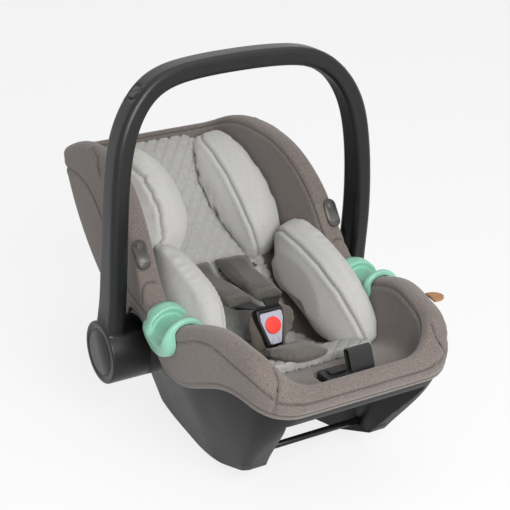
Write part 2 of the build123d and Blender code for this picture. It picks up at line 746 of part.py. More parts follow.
with BuildPart() as buckle_face:
    with BuildSketch(buckle_plane.offset(-FACE_THICK)):
        with BuildLine():
            FilletPolyline(
                (0, BUCKLE_TOP - FACE_INSET - 2),
                (BUCKLE_TOP_HALF - FACE_INSET, BUCKLE_TOP - FACE_INSET - 2),
                (BUCKLE_TOP_HALF - FACE_INSET, 7),
                (BUCKLE_FOOT_HALF - FACE_INSET, BUCKLE_FOOT + FACE_INSET),
                (0, BUCKLE_FOOT + FACE_INSET),
                radius=(4, 14, 3),
            )
            mirror(about=Plane.YZ)
        make_face()
        with Locations((0, RED_AT - 8)):
            Circle(RED_RADIUS + RED_FIT, mode=Mode.SUBTRACT)
    extrude(amount=FACE_THICK)

with BuildPart() as buckle_button:
    with BuildSketch(buckle_plane.offset(-FACE_THICK)):
        with Locations((0, RED_AT - 8)):
            Circle(RED_RADIUS)
    extrude(amount=FACE_THICK + RED_PROUD)
    fillet(buckle_button.edges().sort_by(Axis.Y)[0], 1.2)

with BuildPart() as buckle_spring:
    with BuildSketch(buckle_plane.offset(-FACE_THICK - LAYER_GAP - 1.8)):
        with Locations((0, RED_AT - 8)):
            Circle(RED_RADIUS - 5)
            Circle(RED_RADIUS - 7, mode=Mode.SUBTRACT)
    extrude(amount=1.8)

# The crotch strap rises from the pan through its pad to the buckle's foot.
CROTCH_WEB = (38, 1.6)
CROTCH_PAD_Y = (-222, -50)
CROTCH_PAD_HALF = 42
CROTCH_PAD_CORNER = 30
CROTCH_PAD_THICK = 8
CROTCH_LOBE_Y = (-70, 22)
CROTCH_LOBE_HALF = 33
CROTCH_LOBE_CORNER = 24
buckle_foot = buckle_plane.origin + buckle_plane.y_dir * BUCKLE_FOOT - buckle_plane.z_dir * BUCKLE_DEEP / 2
foot_plane = Plane(origin=buckle_foot, x_dir=(1, 0, 0), z_dir=-buckle_plane.y_dir)

with BuildPart() as crotch_strap:
    with BuildSketch(foot_plane.offset(SOFT_GAP)):
        Rectangle(*CROTCH_WEB)
    extrude(amount=90)
    add(under(lowered(SEAT_LINE, FOAM_BASE - 2 * WEB_GAP - WEB_THICK)), mode=Mode.SUBTRACT)

# ---- Front adjuster ---------------------------------------------------------
ADJUSTER_Y = (-279, -243)
ADJUSTER_HALF = 25
ADJUSTER_TOP = 187
ADJUSTER_DEEP = 15
ADJUSTER_BUTTON = (26, 14)
ADJUSTER_BUTTON_Y = -257
ADJUSTER_TRAVEL = 3
LOOP_X = (8, 46)
LOOP_CENTER = (-272.5, 206)
LOOP_SIZE = (37, 14)
LOOP_LEAN = 68

THROUGH_Z = 177

with BuildPart() as adjuster_through:
    with BuildSketch(Plane.XZ.offset(-ADJUSTER_Y[1] - 1)):
        with Locations((0, THROUGH_Z)):
            Rectangle(WEB_WIDTH + 1, WEB_THICK + 0.8)
    extrude(amount=ADJUSTER_Y[1] - ADJUSTER_Y[0] + 2)

with BuildPart() as adjuster_housing:
    with BuildSketch(Plane.XY.offset(ADJUSTER_TOP - ADJUSTER_DEEP)):
        with Locations((0, sum(ADJUSTER_Y) / 2)):
            RectangleRounded(2 * ADJUSTER_HALF, ADJUSTER_Y[1] - ADJUSTER_Y[0], 5)
    extrude(amount=ADJUSTER_DEEP)
    fillet(adjuster_housing.faces().sort_by(Axis.Z)[-1].edges(), 2)
    with BuildSketch(Plane.XY.offset(ADJUSTER_TOP)):
        with Locations((0, ADJUSTER_BUTTON_Y)):
            RectangleRounded(ADJUSTER_BUTTON[0] + 0.6, ADJUSTER_BUTTON[1] + 0.6, 3)
    extrude(amount=-8, mode=Mode.SUBTRACT)
    add(adjuster_through.part, mode=Mode.SUBTRACT)

with BuildPart() as adjuster_button:
    with BuildSketch(Plane.XY.offset(ADJUSTER_TOP - 3.6)):
        with Locations((0, ADJUSTER_BUTTON_Y)):
            RectangleRounded(*ADJUSTER_BUTTON, 2.7)
    extrude(amount=5)
    fillet(adjuster_button.faces().sort_by(Axis.Z)[-1].edges(), 1)

with BuildPart() as adjuster_spring:
    with BuildSketch(Plane.XY.offset(ADJUSTER_TOP - 7.7)):
        with Locations((0, ADJUSTER_BUTTON_Y)):
            Circle(5)
            Circle(3.5, mode=Mode.SUBTRACT)
    extrude(amount=3.8 - ADJUSTER_TRAVEL)

# The crotch pad lies over the seat pad and stands up behind the buckle.
crotch_low = 2 * SOFT_GAP + PAD_THICK
crotch_high = crotch_low + CROTCH_PAD_THICK
lobe_middle = (CROTCH_LOBE_Y[0] + CROTCH_LOBE_Y[1]) / 2
lobe_tall = CROTCH_LOBE_Y[1] - CROTCH_LOBE_Y[0]
with BuildPart() as crotch_pad:
    with BuildSketch(buckle_plane.offset(-BUCKLE_DEEP - SOFT_GAP - CROTCH_PAD_THICK)):
        with Locations((0, lobe_middle)):
            RectangleRounded(2 * CROTCH_LOBE_HALF, lobe_tall, CROTCH_LOBE_CORNER)
    extrude(amount=CROTCH_PAD_THICK)
    add(under(lowered(SEAT_LINE, -crotch_low)), mode=Mode.SUBTRACT)
    add(floor_pad(crotch_low, crotch_high, CROTCH_PAD_Y, CROTCH_PAD_HALF, CROTCH_PAD_CORNER))
    add(upright_slot((0, CROTCH_SLOT_Y), CROTCH_SLOT), mode=Mode.SUBTRACT)

# ---- Adjuster strap under the foam, and the yoke behind the back ------------
FLOOR_WEB_TOP = 2
YOKE_Y = (84, 122)
YOKE_HALF = 58
GROOVE_HALF = 22
GROOVE_TALL = 4
REAR_RISER_Y = -240
FRONT_RISER_Y = -281
POCKET_GAP = 0.5
RISER_FOOT_Z = 161
RISER_TOP_Z = 192
STRAP_UNDER = FOAM_BASE - WEB_GAP
BOTH_WALLS = 2 * WEB_THICK


def floor_slab(low, high, y_range, half):
    """Slab between two depths under the seat line."""
    with BuildPart() as slab:
        with BuildSketch(Plane.XY):
            with Locations((0, (y_range[0] + y_range[1]) / 2)):
                Rectangle(2 * half, y_range[1] - y_range[0])
        extrude(amount=SPAN + 50)
        add(under(lowered(SEAT_LINE, high)), mode=Mode.INTERSECT)
        add(under(lowered(SEAT_LINE, low)), mode=Mode.SUBTRACT)
    return slab.part


with BuildPart() as harness_yoke:
    add(floor_slab(FOAM_BASE - WEB_GAP, FOAM_BASE - WEB_GAP - YOKE_THICK, YOKE_Y, YOKE_HALF))

with BuildPart() as adjuster_strap:
    add(floor_slab(STRAP_UNDER, STRAP_UNDER - WEB_THICK, (REAR_RISER_Y, YOKE_Y[0] - WEB_GAP), WEB_WIDTH / 2))
    with BuildSketch(Plane.YZ):
        with BuildLine() as tail:
            Polyline(
                (REAR_RISER_Y, RISER_FOOT_Z),
                (REAR_RISER_Y, THROUGH_Z),
                (FRONT_RISER_Y, THROUGH_Z),
                (FRONT_RISER_Y, RISER_TOP_Z),
            )
        trace(tail.line, WEB_THICK)
    extrude(amount=WEB_WIDTH / 2, both=True)
    with BuildSketch(Plane.YZ.offset(LOOP_X[0])):
        with Locations((*LOOP_CENTER, 0)):
            SlotOverall(*LOOP_SIZE, rotation=LOOP_LEAN)
            SlotOverall(LOOP_SIZE[0] - BOTH_WALLS, LOOP_SIZE[1] - BOTH_WALLS, rotation=LOOP_LEAN, mode=Mode.SUBTRACT)
    extrude(amount=LOOP_X[1] - LOOP_X[0])

with BuildPart() as adjuster_pocket:
    with BuildSketch(Plane.XY.offset(ADJUSTER_TOP - ADJUSTER_DEEP - POCKET_GAP)):
        with Locations((0, sum(ADJUSTER_Y) / 2 - 2)):
            Rectangle(2 * ADJUSTER_HALF + 1, ADJUSTER_Y[1] - ADJUSTER_Y[0] + 5)
    extrude(amount=60)
    with BuildSketch(Plane.XY.offset(150)):
        with Locations((0, REAR_RISER_Y - 1)):
            Rectangle(2 * GROOVE_HALF, GROOVE_TALL + 2)
    extrude(amount=ADJUSTER_TOP - 150)

with BuildPart() as harness_cuts:
    add(upright_slot((0, CROTCH_SLOT_Y), CROTCH_SLOT))
    for x in (-STRAP_SLOT_X, STRAP_SLOT_X):
        add(upright_slot((x, STRAP_SLOT_Y), STRAP_SLOT))
    add(adjuster_pocket.part)

with BuildPart() as foam_grooves:
    add(floor_slab(FOAM_BASE + 1, FOAM_BASE - GROOVE_TALL, (REAR_RISER_Y - 3, YOKE_Y[1] + 2), GROOVE_HALF))
    add(floor_slab(FOAM_BASE + 1, FOAM_BASE - GROOVE_TALL, (YOKE_Y[0] - 2, YOKE_Y[1] + 2), YOKE_HALF + 2))

# ---- Belt guides, canopy clips and the label tab ---------------------------
GUIDE_YZ = (-78, 222)
GUIDE_RADIUS = 35
GUIDE_HOOK = ((-46, 236), (-46, 263), (-72, 266), (-73, 261), (-53, 257), (-52, 236))
GUIDE_LIP = ((-112, 236), (-110, 250), (-105, 250), (-104, 236))
CLIP_AT = (166, 11)
CLIP_SIZE = (45, 20)
CLIP_TALL = 5
CLIP_SLOPE = 56
CLIP_STUD = 7
TAG_AT = (172, -246, 254)
TAG_SIZE = (17, 15)
TAG_THICK = 2.4

with BuildPart() as rim_clear:
    add(hull(-WEB_GAP))
    add(hull(RIM_BAND + WEB_GAP), mode=Mode.SUBTRACT)
    add(under(lowered(RIM_LINE, -WEB_GAP)), mode=Mode.INTERSECT)

with BuildPart() as belt_guide_right:
    with BuildSketch(Plane.YZ):
        with Locations(GUIDE_YZ):
            Circle(GUIDE_RADIUS)
    extrude(amount=SPAN / 2)
    add(under(lowered(RIM_LINE, -GUIDE_WALL - WEB_GAP)), mode=Mode.INTERSECT)
    with BuildSketch(Plane.YZ):
        Polygon(*GUIDE_HOOK, align=None)
        Polygon(*GUIDE_LIP, align=None)
    extrude(amount=SPAN / 2)
    add(hull(-GUIDE_WALL), mode=Mode.INTERSECT)
    add(hull(RIM_BAND + GUIDE_WALL), mode=Mode.SUBTRACT)
    add(rim_clear.part, mode=Mode.SUBTRACT)

clip_z = 301
clip_plane = Plane(
    origin=(CLIP_AT[0], CLIP_AT[1], clip_z),
    x_dir=(0, math.cos(math.radians(CLIP_SLOPE)), math.sin(math.radians(CLIP_SLOPE))),
    z_dir=(0, -math.sin(math.radians(CLIP_SLOPE)), math.cos(math.radians(CLIP_SLOPE))),
)
with BuildPart() as canopy_clip_right:
    with BuildSketch(clip_plane.offset(-6)):
        SlotOverall(*CLIP_SIZE)
    extrude(amount=CLIP_TALL + 6)
    with BuildSketch(clip_plane.offset(CLIP_TALL)):
        with Locations((CLIP_SIZE[0] / 2 - CLIP_SIZE[1] / 2, 0)):
            Circle(CLIP_STUD)
    extrude(amount=1.2)
    add(under(lowered(RIM_LINE, -WEB_GAP)), mode=Mode.SUBTRACT)

with BuildPart() as side_tag:
    with BuildSketch(Plane.XY.offset(TAG_AT[2])):
        with Locations((TAG_AT[0], TAG_AT[1])):
            Ellipse(*TAG_SIZE)
    extrude(amount=TAG_THICK)
    add(hull(-WEB_GAP), mode=Mode.SUBTRACT)

# ---- Seat cover ------------------------------------------------------------
HUB_NOTCH = 56
BACK_WINDOW_HALF = 110
BACK_WINDOW = ((120, 100), (150, 126), (196, 168), (308, 300), (308, 336), (420, 336), (420, 100))

with BuildPart() as hub_notch:
    with BuildSketch(Plane.YZ):
        with Locations(HUB_YZ):
            Circle(HUB_NOTCH)
    extrude(amount=SPAN, both=True)

with BuildPart() as back_window:
    with BuildSketch(Plane.YZ):
        with BuildLine():
            Polyline(*BACK_WINDOW, close=True)
        make_face()
    extrude(amount=BACK_WINDOW_HALF, both=True)

with BuildPart() as cover_core:
    add(hull(FABRIC))
    add(under(lowered(RIM_LINE, FABRIC)), mode=Mode.INTERSECT)
    add(above_front_scoop(FABRIC), mode=Mode.SUBTRACT)

with BuildPart() as cover_bowl:
    add(hull(RIM_BAND - FABRIC))
    add(under(lowered(SEAT_LINE, FABRIC)), mode=Mode.SUBTRACT)

with BuildPart() as seat_space:
    add(hull(RIM_BAND))
    add(under(SEAT_LINE), mode=Mode.SUBTRACT)

with BuildPart() as outside_skirt:
    add(under(HEM_LINE))
    add(hub_notch.part)
    add(back_window.part)
    add(hull(SHELL_AT), mode=Mode.SUBTRACT)

with BuildPart() as cover_void:
    add(cover_core.part)
    add(cover_bowl.part, mode=Mode.SUBTRACT)

with BuildPart() as seat_cover:
    add(hull(0))
    add(under(RIM_LINE), mode=Mode.INTERSECT)
    add(above_front_scoop(0), mode=Mode.SUBTRACT)
    add(seat_space.part, mode=Mode.SUBTRACT)
    add(cover_void.part, mode=Mode.SUBTRACT)
    add(outside_skirt.part, mode=Mode.SUBTRACT)
    add(harness_cuts.part, mode=Mode.SUBTRACT)

# ---- Foam liner and bucket -------------------------------------------------
with BuildPart() as foam_space:
    add(hull(FOAM_IN))
    add(under(lowered(SEAT_LINE, FOAM_TOP)), mode=Mode.SUBTRACT)

with BuildPart() as foam_liner:
    add(hull(FOAM_AT))
    add(under(lowered(RIM_LINE, FOAM_TOP)), mode=Mode.INTERSECT)
    add(under(lowered(SEAT_LINE, FOAM_BASE)), mode=Mode.SUBTRACT)
    add(above_front_scoop(FOAM_TOP), mode=Mode.SUBTRACT)
    add(foam_space.part, mode=Mode.SUBTRACT)
    add(harness_cuts.part, mode=Mode.SUBTRACT)
    add(foam_grooves.part, mode=Mode.SUBTRACT)

with BuildPart() as bucket_space:
    add(hull(BUCKET_AT + BUCKET_WALL))
    add(under(lowered(SEAT_LINE, BUCKET_TOP)), mode=Mode.SUBTRACT)

with BuildPart() as bucket_shell:
    add(hull(BUCKET_AT))
    add(under(lowered(RIM_LINE, FOAM_TOP)), mode=Mode.INTERSECT)
    add(under(lowered(SEAT_LINE, BUCKET_BASE)), mode=Mode.SUBTRACT)
    add(above_front_scoop(FOAM_TOP), mode=Mode.SUBTRACT)
    add(bucket_space.part, mode=Mode.SUBTRACT)


# ---- One STEP file per piece; sided pieces are mirrored to the left ----------
CENTRE_PIECES = {
    "base_shell": base_shell,
    "bucket_shell": bucket_shell,
    "foam_liner": foam_liner,
    "seat_cover": seat_cover,
    "front_cross_bar": front_cross_bar,
    "rear_cross_bar": rear_cross_bar,
    "handle_shell": handle_shell,
    "handle_liner": handle_liner,
    "insert_seat_pad": insert_seat_pad,
    "insert_back_pad": insert_back_pad,
    "crotch_pad": crotch_pad,
    "crotch_strap": crotch_strap,
    "buckle_housing": buckle_housing,
    "buckle_face": buckle_face,
    "buckle_button": buckle_button,
    "buckle_spring": buckle_spring,
    "adjuster_housing": adjuster_housing,
    "adjuster_button": adjuster_button,
    "adjuster_spring": adjuster_spring,
    "adjuster_strap": adjuster_strap,
    "harness_yoke": harness_yoke,
    "side_tag": side_tag,
}
RIGHT_PIECES = {
    "hub_ring": hub_ring_right,
    "lock_gear": lock_gear_right,
    "lock_spring": lock_spring_right,
    "hub_axle": hub_axle_right,
    "hub_cap": hub_cap_right,
    "handle_button": handle_button_right,
    "button_spring": button_spring_right,
    "release_cable": release_cable_right,
    "belt_guide": belt_guide_right,
    "canopy_clip": canopy_clip_right,
    "insert_head_pad": insert_head_pad_right,
    "insert_bolster": insert_bolster_right,
    "shoulder_pad": shoulder_pad_right,
    "shoulder_strap": shoulder_strap_right,
    "buckle_tongue": buckle_tongue_right,
}

for label, piece in CENTRE_PIECES.items():
    piece.part.label = label
    export_step(piece.part, f"parts/{label}.step")

for label, piece in RIGHT_PIECES.items():
    with BuildPart() as twin:
        mirror(piece.part, about=Plane.YZ)
    piece.part.label = f"{label}_right"
    twin.part.label = f"{label}_left"
    export_step(piece.part, f"parts/{label}_right.step")
    export_step(twin.part, f"parts/{label}_left.step")
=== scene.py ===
import math

import bmesh
import bpy
import numpy as np
from mathutils import Matrix, Vector
from mathutils.bvhtree import BVHTree
from mathutils.kdtree import KDTree


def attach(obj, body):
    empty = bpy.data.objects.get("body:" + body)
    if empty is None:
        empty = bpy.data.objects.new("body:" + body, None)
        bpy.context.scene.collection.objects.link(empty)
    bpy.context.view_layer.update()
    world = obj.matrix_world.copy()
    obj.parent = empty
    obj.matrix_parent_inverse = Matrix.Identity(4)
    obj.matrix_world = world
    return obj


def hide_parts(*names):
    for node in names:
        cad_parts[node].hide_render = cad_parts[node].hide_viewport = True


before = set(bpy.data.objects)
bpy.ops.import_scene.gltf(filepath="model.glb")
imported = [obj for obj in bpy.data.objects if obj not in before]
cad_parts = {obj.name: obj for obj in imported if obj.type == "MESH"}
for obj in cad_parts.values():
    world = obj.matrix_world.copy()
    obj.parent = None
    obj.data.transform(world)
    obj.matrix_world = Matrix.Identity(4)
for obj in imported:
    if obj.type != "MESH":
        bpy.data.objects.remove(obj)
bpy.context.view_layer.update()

# ---- Studio ------------------------------------------------------------------
# A person's view from the left of the foot end, a little above the handle hubs.
# The floor is pale and nearly shadowless; two wide lamps give soft light.
scene = bpy.context.scene
scene.view_settings.view_transform = "Standard"
camera = bpy.data.objects.new("camera", bpy.data.cameras.new("camera"))
camera.location = (-1.0237, -1.7499, 1.1169)
camera.rotation_euler = (math.radians(90 - 22.682), 0, math.radians(-30.837))
camera.data.sensor_width = 36
camera.data.lens = 102.36
scene.collection.objects.link(camera)
scene.camera = camera


def lamp(name, place, aim, size, power):
    """Square soft lamp that points at a place."""
    light = bpy.data.lights.new(name, "AREA")
    light.size = size
    light.energy = power
    holder = bpy.data.objects.new(name, light)
    holder.location = place
    holder.rotation_euler = (Vector(aim) - Vector(place)).to_track_quat("-Z", "Y").to_euler()
    scene.collection.objects.link(holder)


lamps_aim = (0, 0, 0.25)
lamp("key_lamp", (-0.45, -2.65, 1.7), lamps_aim, 1.6, 90)
lamp("top_lamp", (0.5, -0.5, 2.7), lamps_aim, 1.8, 10)


def seen_directly(tree):
    """1 where a surface is seen by the camera, in a mirror or through glass."""
    path = tree.nodes.new("ShaderNodeLightPath")
    total = None
    for ray in ("Is Camera Ray", "Is Glossy Ray", "Is Transmission Ray"):
        if total is None:
            total = path.outputs[ray]
            continue
        most = tree.nodes.new("ShaderNodeMath")
        most.operation = "MAXIMUM"
        tree.links.new(total, most.inputs[0])
        tree.links.new(path.outputs[ray], most.inputs[1])
        total = most.outputs[0]
    return total


world = bpy.data.worlds.new("studio")
world.use_nodes = True
scene.world = world
air = world.node_tree
ambient = air.nodes["Background"]
ambient.inputs["Color"].default_value = (1, 1, 1, 1)
ambient.inputs["Strength"].default_value = 0.43
backdrop = air.nodes.new("ShaderNodeBackground")
backdrop.inputs["Color"].default_value = (1, 1, 1, 1)
backdrop.inputs["Strength"].default_value = 1
choice = air.nodes.new("ShaderNodeMixShader")
air.links.new(seen_directly(air), choice.inputs["Fac"])
air.links.new(ambient.outputs[0], choice.inputs[1])
air.links.new(backdrop.outputs[0], choice.inputs[2])
air.links.new(choice.outputs[0], air.nodes["World Output"].inputs["Surface"])

floor_mesh = bpy.data.meshes.new("floor")
floor_shape = bmesh.new()
bmesh.ops.create_grid(floor_shape, x_segments=1, y_segments=1, size=6)
floor_shape.to_mesh(floor_mesh)
floor_shape.free()
floor = bpy.data.objects.new("floor", floor_mesh)
scene.collection.objects.link(floor)
floor_finish = bpy.data.materials.new("floor_finish")
floor_finish.use_nodes = True
ground = floor_finish.node_tree
paper = ground.nodes["Principled BSDF"]
paper.inputs["Base Color"].default_value = (0.9, 0.9, 0.9, 1)
paper.inputs["Roughness"].default_value = 0.9
paper.inputs["Specular IOR Level"].default_value = 0
glow = ground.nodes.new("ShaderNodeEmission")
white = ground.nodes.new("ShaderNodeMixShader")
share = ground.nodes.new("ShaderNodeMath")
share.operation = "MULTIPLY"
share.inputs[1].default_value = 0.8
ground.links.new(seen_directly(ground), share.inputs[0])
ground.links.new(share.outputs[0], white.inputs["Fac"])
ground.links.new(paper.outputs[0], white.inputs[1])
ground.links.new(glow.outputs[0], white.inputs[2])
ground.links.new(white.outputs[0], ground.nodes["Material Output"].inputs["Surface"])
floor.data.materials.append(floor_finish)


# ---- Rocker base ---------------------------------------------------------------
# The outer shell is one moulding of dark grey polypropylene with a fine spark
# texture: two rocker rails, a tunnel between them and a pad under each hub.
class Signal:
    """A shader socket that takes part in sums and products."""

    def __init__(self, socket):
        self.socket = socket

    def reckon(self, operation, *values):
        tree = self.socket.id_data
        node = tree.nodes.new("ShaderNodeMath")
        node.operation = operation
        for slot, value in zip(node.inputs, values):
            if isinstance(value, Signal):
                tree.links.new(value.socket, slot)
            else:
                slot.default_value = value
        return Signal(node.outputs[0])

    def __add__(self, other):
        return self.reckon("ADD", self, other)

    def __radd__(self, other):
        return self.reckon("ADD", other, self)

    def __sub__(self, other):
        return self.reckon("SUBTRACT", self, other)

    def __rsub__(self, other):
        return self.reckon("SUBTRACT", other, self)

    def __mul__(self, other):
        return self.reckon("MULTIPLY", self, other)

    def __rmul__(self, other):
        return self.reckon("MULTIPLY", other, self)

    def wave(self):
        return self.reckon("SINE", self)


def ink(red, green, blue):
    """A colour as seen, 0 to 255, as the shader's linear values."""
    shades = (value / 255 for value in (red, green, blue))
    return (*(s / 12.92 if s < 0.04045 else ((s + 0.055) / 1.055) ** 2.4 for s in shades), 1)


class Finish:
    """A surface finish, built node by node on one Principled shader."""

    def __init__(self, name, **sockets):
        self.material = bpy.data.materials.new(name)
        self.material.use_nodes = True
        self.tree = self.material.node_tree
        self.skin = self.tree.nodes["Principled BSDF"]
        for socket, value in sockets.items():
            self.set(socket.replace("_", " "), value)
        self.place = self.node("TexCoord", "Object")

    def set(self, socket, value):
        if isinstance(value, Signal):
            self.tree.links.new(value.socket, self.skin.inputs[socket])
        else:
            self.skin.inputs[socket].default_value = value

    def node(self, kind, output, choices=(), **inputs):
        """Any other node: its choices, its inputs by name, one output."""
        made = self.tree.nodes.new("ShaderNode" + kind)
        for key, value in dict(choices).items():
            setattr(made, key, value)
        for key, value in inputs.items():
            slot = made.inputs[int(key[1:]) if key[0] == "i" and key[1:].isdigit() else key.replace("_", " ")]
            if isinstance(value, Signal):
                self.tree.links.new(value.socket, slot)
            else:
                slot.default_value = value
        return Signal(made.outputs[output])

    def grain(self, scale, detail=2.0, stretch=(1, 1, 1), roughness=0.5):
        """Noise on the piece's own coordinates, scale in lumps per metre."""
        place = self.node("VectorMath", "Vector", {"operation": "MULTIPLY"}, i0=self.place, i1=stretch)
        return self.node("TexNoise", "Fac", Vector=place, Scale=scale, Detail=detail, Roughness=roughness)

    def tint(self, share, first, second):
        """Colour between two, by a share from 0 to 1."""
        return self.node("Mix", 2, {"data_type": "RGBA"}, i0=share, i6=first, i7=second)

    def relief(self, height, depth, strength=1.0):
        """Bump of a real depth in metres."""
        self.set("Normal", self.node("Bump", "Normal", Height=height, Distance=depth, Strength=strength))


def moulded(name, colour, roughness, texture, worn=0.08, **sockets):
    """Moulded plastic: spark texture, faint handling marks, gloss that varies."""
    finish = Finish(name, **sockets)
    cloud = finish.grain(14, 3)
    pits = finish.grain(1500, 1)
    red, green, blue = colour
    lighter = ink(red * (1 + worn) + 3, green * (1 + worn) + 3, blue * (1 + worn) + 3)
    finish.set("Base Color", finish.tint(cloud, ink(*colour), lighter))
    finish.set("Roughness", roughness + (cloud - 0.5) * 0.12)
    finish.relief(pits, texture)
    return finish.material


def merged(node):
    """A CAD piece as one connected mesh, for smooth shading."""
    shape = bmesh.new()
    shape.from_mesh(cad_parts[node].data)
    bmesh.ops.remove_doubles(shape, verts=shape.verts, dist=2e-6)
    return shape


def piece(name, shape, finish, body, *nodes, crease=None):
    """A finished piece from a bmesh; it rides on a body and stands for CAD nodes."""
    mesh = bpy.data.meshes.new(name)
    shape.to_mesh(mesh)
    shape.free()
    made = bpy.data.objects.new(name, mesh)
    scene.collection.objects.link(made)
    mesh.materials.append(finish)
    mesh.shade_smooth()
    if crease:
        mesh.set_sharp_from_angle(angle=math.radians(crease))
    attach(made, body)
    if nodes:
        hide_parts(*nodes)
    return made


base_grey = moulded("base_polypropylene", (18, 18, 19), 0.5, 0.00006, Specular_IOR_Level=0.3)
bucket_grey = moulded("bucket_polypropylene", (18, 18, 19), 0.55, 0.00005, Specular_IOR_Level=0.35)
for node, finish in (("base_shell", base_grey), ("bucket_shell", bucket_grey)):
    piece("moulded_" + node, merged(node), finish, "seat", node, crease=32)


# ---- Seat cover ----------------------------------------------------------------
# A sewn slip cover of melange knit over thin wadding. One long band goes over
# the rim of the tub, from an elastic hem outside to the bowl inside; seams join
# it to the outer skirt and to the inner panels, and its hem dips round the hubs.
def through(points):
    """Height along a smooth line through side-view points, both in metres."""
    places, heights = (np.array(values) / 1000 for values in zip(*points))
    steps = np.diff(places)
    slopes = np.diff(heights) / steps
    count = len(places)
    ties = np.eye(count)
    pulls = np.zeros(count)
    for i in range(1, count - 1):
        ties[i, i - 1:i + 2] = steps[i - 1], 2 * (steps[i - 1] + steps[i]), steps[i]
        pulls[i] = 3 * (slopes[i] - slopes[i - 1])
    bends = np.linalg.solve(ties, pulls)

    def height(place):
        place = min(max(place, places[0]), places[-1])
        i = min(int(np.searchsorted(places, place, side="right")) - 1, count - 2)
        along = place - places[i]
        slope = slopes[i] - steps[i] * (2 * bends[i] + bends[i + 1]) / 3
        twist = (bends[i + 1] - bends[i]) / (3 * steps[i])
        return float(heights[i] + along * (slope + along * (bends[i] + along * twist)))

    return height


rim_height = through(((-345, 196), (-330, 206), (-300, 245), (-262, 261), (-210, 267), (-160, 257), (-112, 240),
                      (-44, 240), (-15, 262), (30, 330), (64, 366), (100, 390), (150, 405), (200, 409), (250, 403),
                      (300, 386), (345, 362), (380, 338)))
bowl_height = through(((-300, 182), (-230, 178), (-130, 142), (-20, 104), (30, 128), (150, 232), (290, 348),
                       (380, 414)))
hem_height = through(((-350, 168), (-285, 186), (-235, 188), (-190, 173), (-135, 149), (-70, 132), (0, 126),
                      (150, 126)))
scoop_height = through(((0, 217), (60, 217), (88, 219), (106, 227), (124, 246), (140, 279), (155, 320), (190, 420)))

# Sizes of the hull's plan at six heights: foot end, head end, half width, how
# much of it the foot end keeps, and the bend at the foot end's corner.
hull_sizes = [through(tuple(zip((0, 70, 150, 200, 290, 420), sizes))) for sizes in (
    (-195, -243, -312, -343, -346, -343), (118, 140, 173, 213, 292, 372), (122, 143, 172, 184, 188, 178),
    (970, 960, 870, 820, 800, 800), (10, 14, 42, 66, 75, 70))]
middle = -0.110


def outline(z, inset, counts=(15, 15, 22, 10, 40, 9, 20)):
    """Half of the hull's plan at a height, foot end to head end, moved inwards."""
    front, rear, half, toe, toe_bend = (size(z) for size in hull_sizes)
    half -= inset
    front += inset
    rear -= inset
    toe_bend = max(toe_bend - 0.35 * inset, 0.008)
    corners = [Vector(p) for p in ((0, front), (toe * half, front), (half, middle), (0.81 * half, rear), (0, rear))]
    bends = (toe_bend, 0.3, max(0.034 - 0.3 * inset, 0.008))
    line = []
    start = corners[0]
    for number, bend in enumerate(bends):
        corner = corners[number + 1]
        back = (corners[number] - corner).normalized()
        ahead = (corners[number + 2] - corner).normalized()
        half_angle = back.angle(ahead) / 2
        reach = bend / math.tan(half_angle)
        centre = corner + (back + ahead).normalized() * bend / math.sin(half_angle)
        first = corner + back * reach
        last = corner + ahead * reach
        straight, arc = counts[2 * number:2 * number + 2]
        line += [start.lerp(first, step / straight) for step in range(straight)]
        for step in range(arc):
            spoke = (first - centre).normalized().slerp((last - centre).normalized(), step / arc)
            line.append(centre + spoke * bend)
        start = last
    line += [start.lerp(corners[4], step / counts[6]) for step in range(counts[6] + 1)]
    return line


def crest(x, y):
    """Height of the rim's top: the side line, lowered over the foot roll."""
    side = rim_height(y)
    if y > -0.2:
        return side
    scoop = scoop_height(abs(x))
    gap = (side - scoop) / 0.008
    return min(side, scoop) - 0.002 * math.exp(-gap * gap)


def hem(x, y):
    """Height of the lower edge: an arc round each hub, and high over the back."""
    edge = hem_height(y)
    away = (y - 0.033) / 0.056
    if abs(away) < 1:
        edge = max(edge, 0.149 + 0.056 * math.sqrt(1 - away * away))
    if y > 0.1:
        lift = min(max((0.138 - abs(x)) / 0.032, 0.0), 1.0)
        edge += (0.336 - edge) * lift * lift * (3 - 2 * lift)
    return edge


# The hull's plans are read at even levels, and a ring of the cover is one
# closed loop of stations at its own inset, right half and mirrored left half.
levels = np.linspace(0.1, 0.42, 33)


def plans(inset):
    """The half outlines at every level, one array for a given inset."""
    return np.array([[tuple(spot) for spot in outline(z, inset)] for z in levels])


def at_height(table, station, z):
    """A station's place at a height, between the levels of its table."""
    place = (min(max(z, levels[0]), levels[-1]) - levels[0]) / (levels[1] - levels[0])
    low = min(int(place), len(levels) - 2)
    x, y = table[low, station] + (table[low + 1, station] - table[low, station]) * (place - low)
    return Vector((x, y, z))


def settled(table, station, height):
    """A station's place where its height depends on where it lies."""
    spot = at_height(table, station, 0.25)
    for _ in range(16):
        spot = at_height(table, station, spot.z + 0.6 * (height(spot.x, spot.y) - spot.z))
    return spot


def ring_of(inset, height):
    """One half ring: every station at an inset, at a height that its place gives."""
    table = plans(inset)
    return [settled(table, station, height) for station in range(table.shape[1])]


def rise_between(inset, foot, top, shares):
    """Half rings up or down one wall, at even shares of its height."""
    table = plans(inset)
    low, high = ring_of(inset, foot), ring_of(inset, top)
    return [[at_height(table, s, a.z + share * (b.z - a.z)) for s, (a, b) in enumerate(zip(low, high))]
            for share in shares]


def pan(edge, drop, shares):
    """Half rings over the bowl's floor, from its edge to the middle line."""
    middle_y = (edge[0].y + edge[-1].y) / 2
    return [[Vector((spot.x * (1 - share), y, bowl_height(y) - drop)) for spot, y in
             ((spot, middle_y + (spot.y - middle_y) * (1 - 0.3 * share)) for spot in edge)] for share in shares]


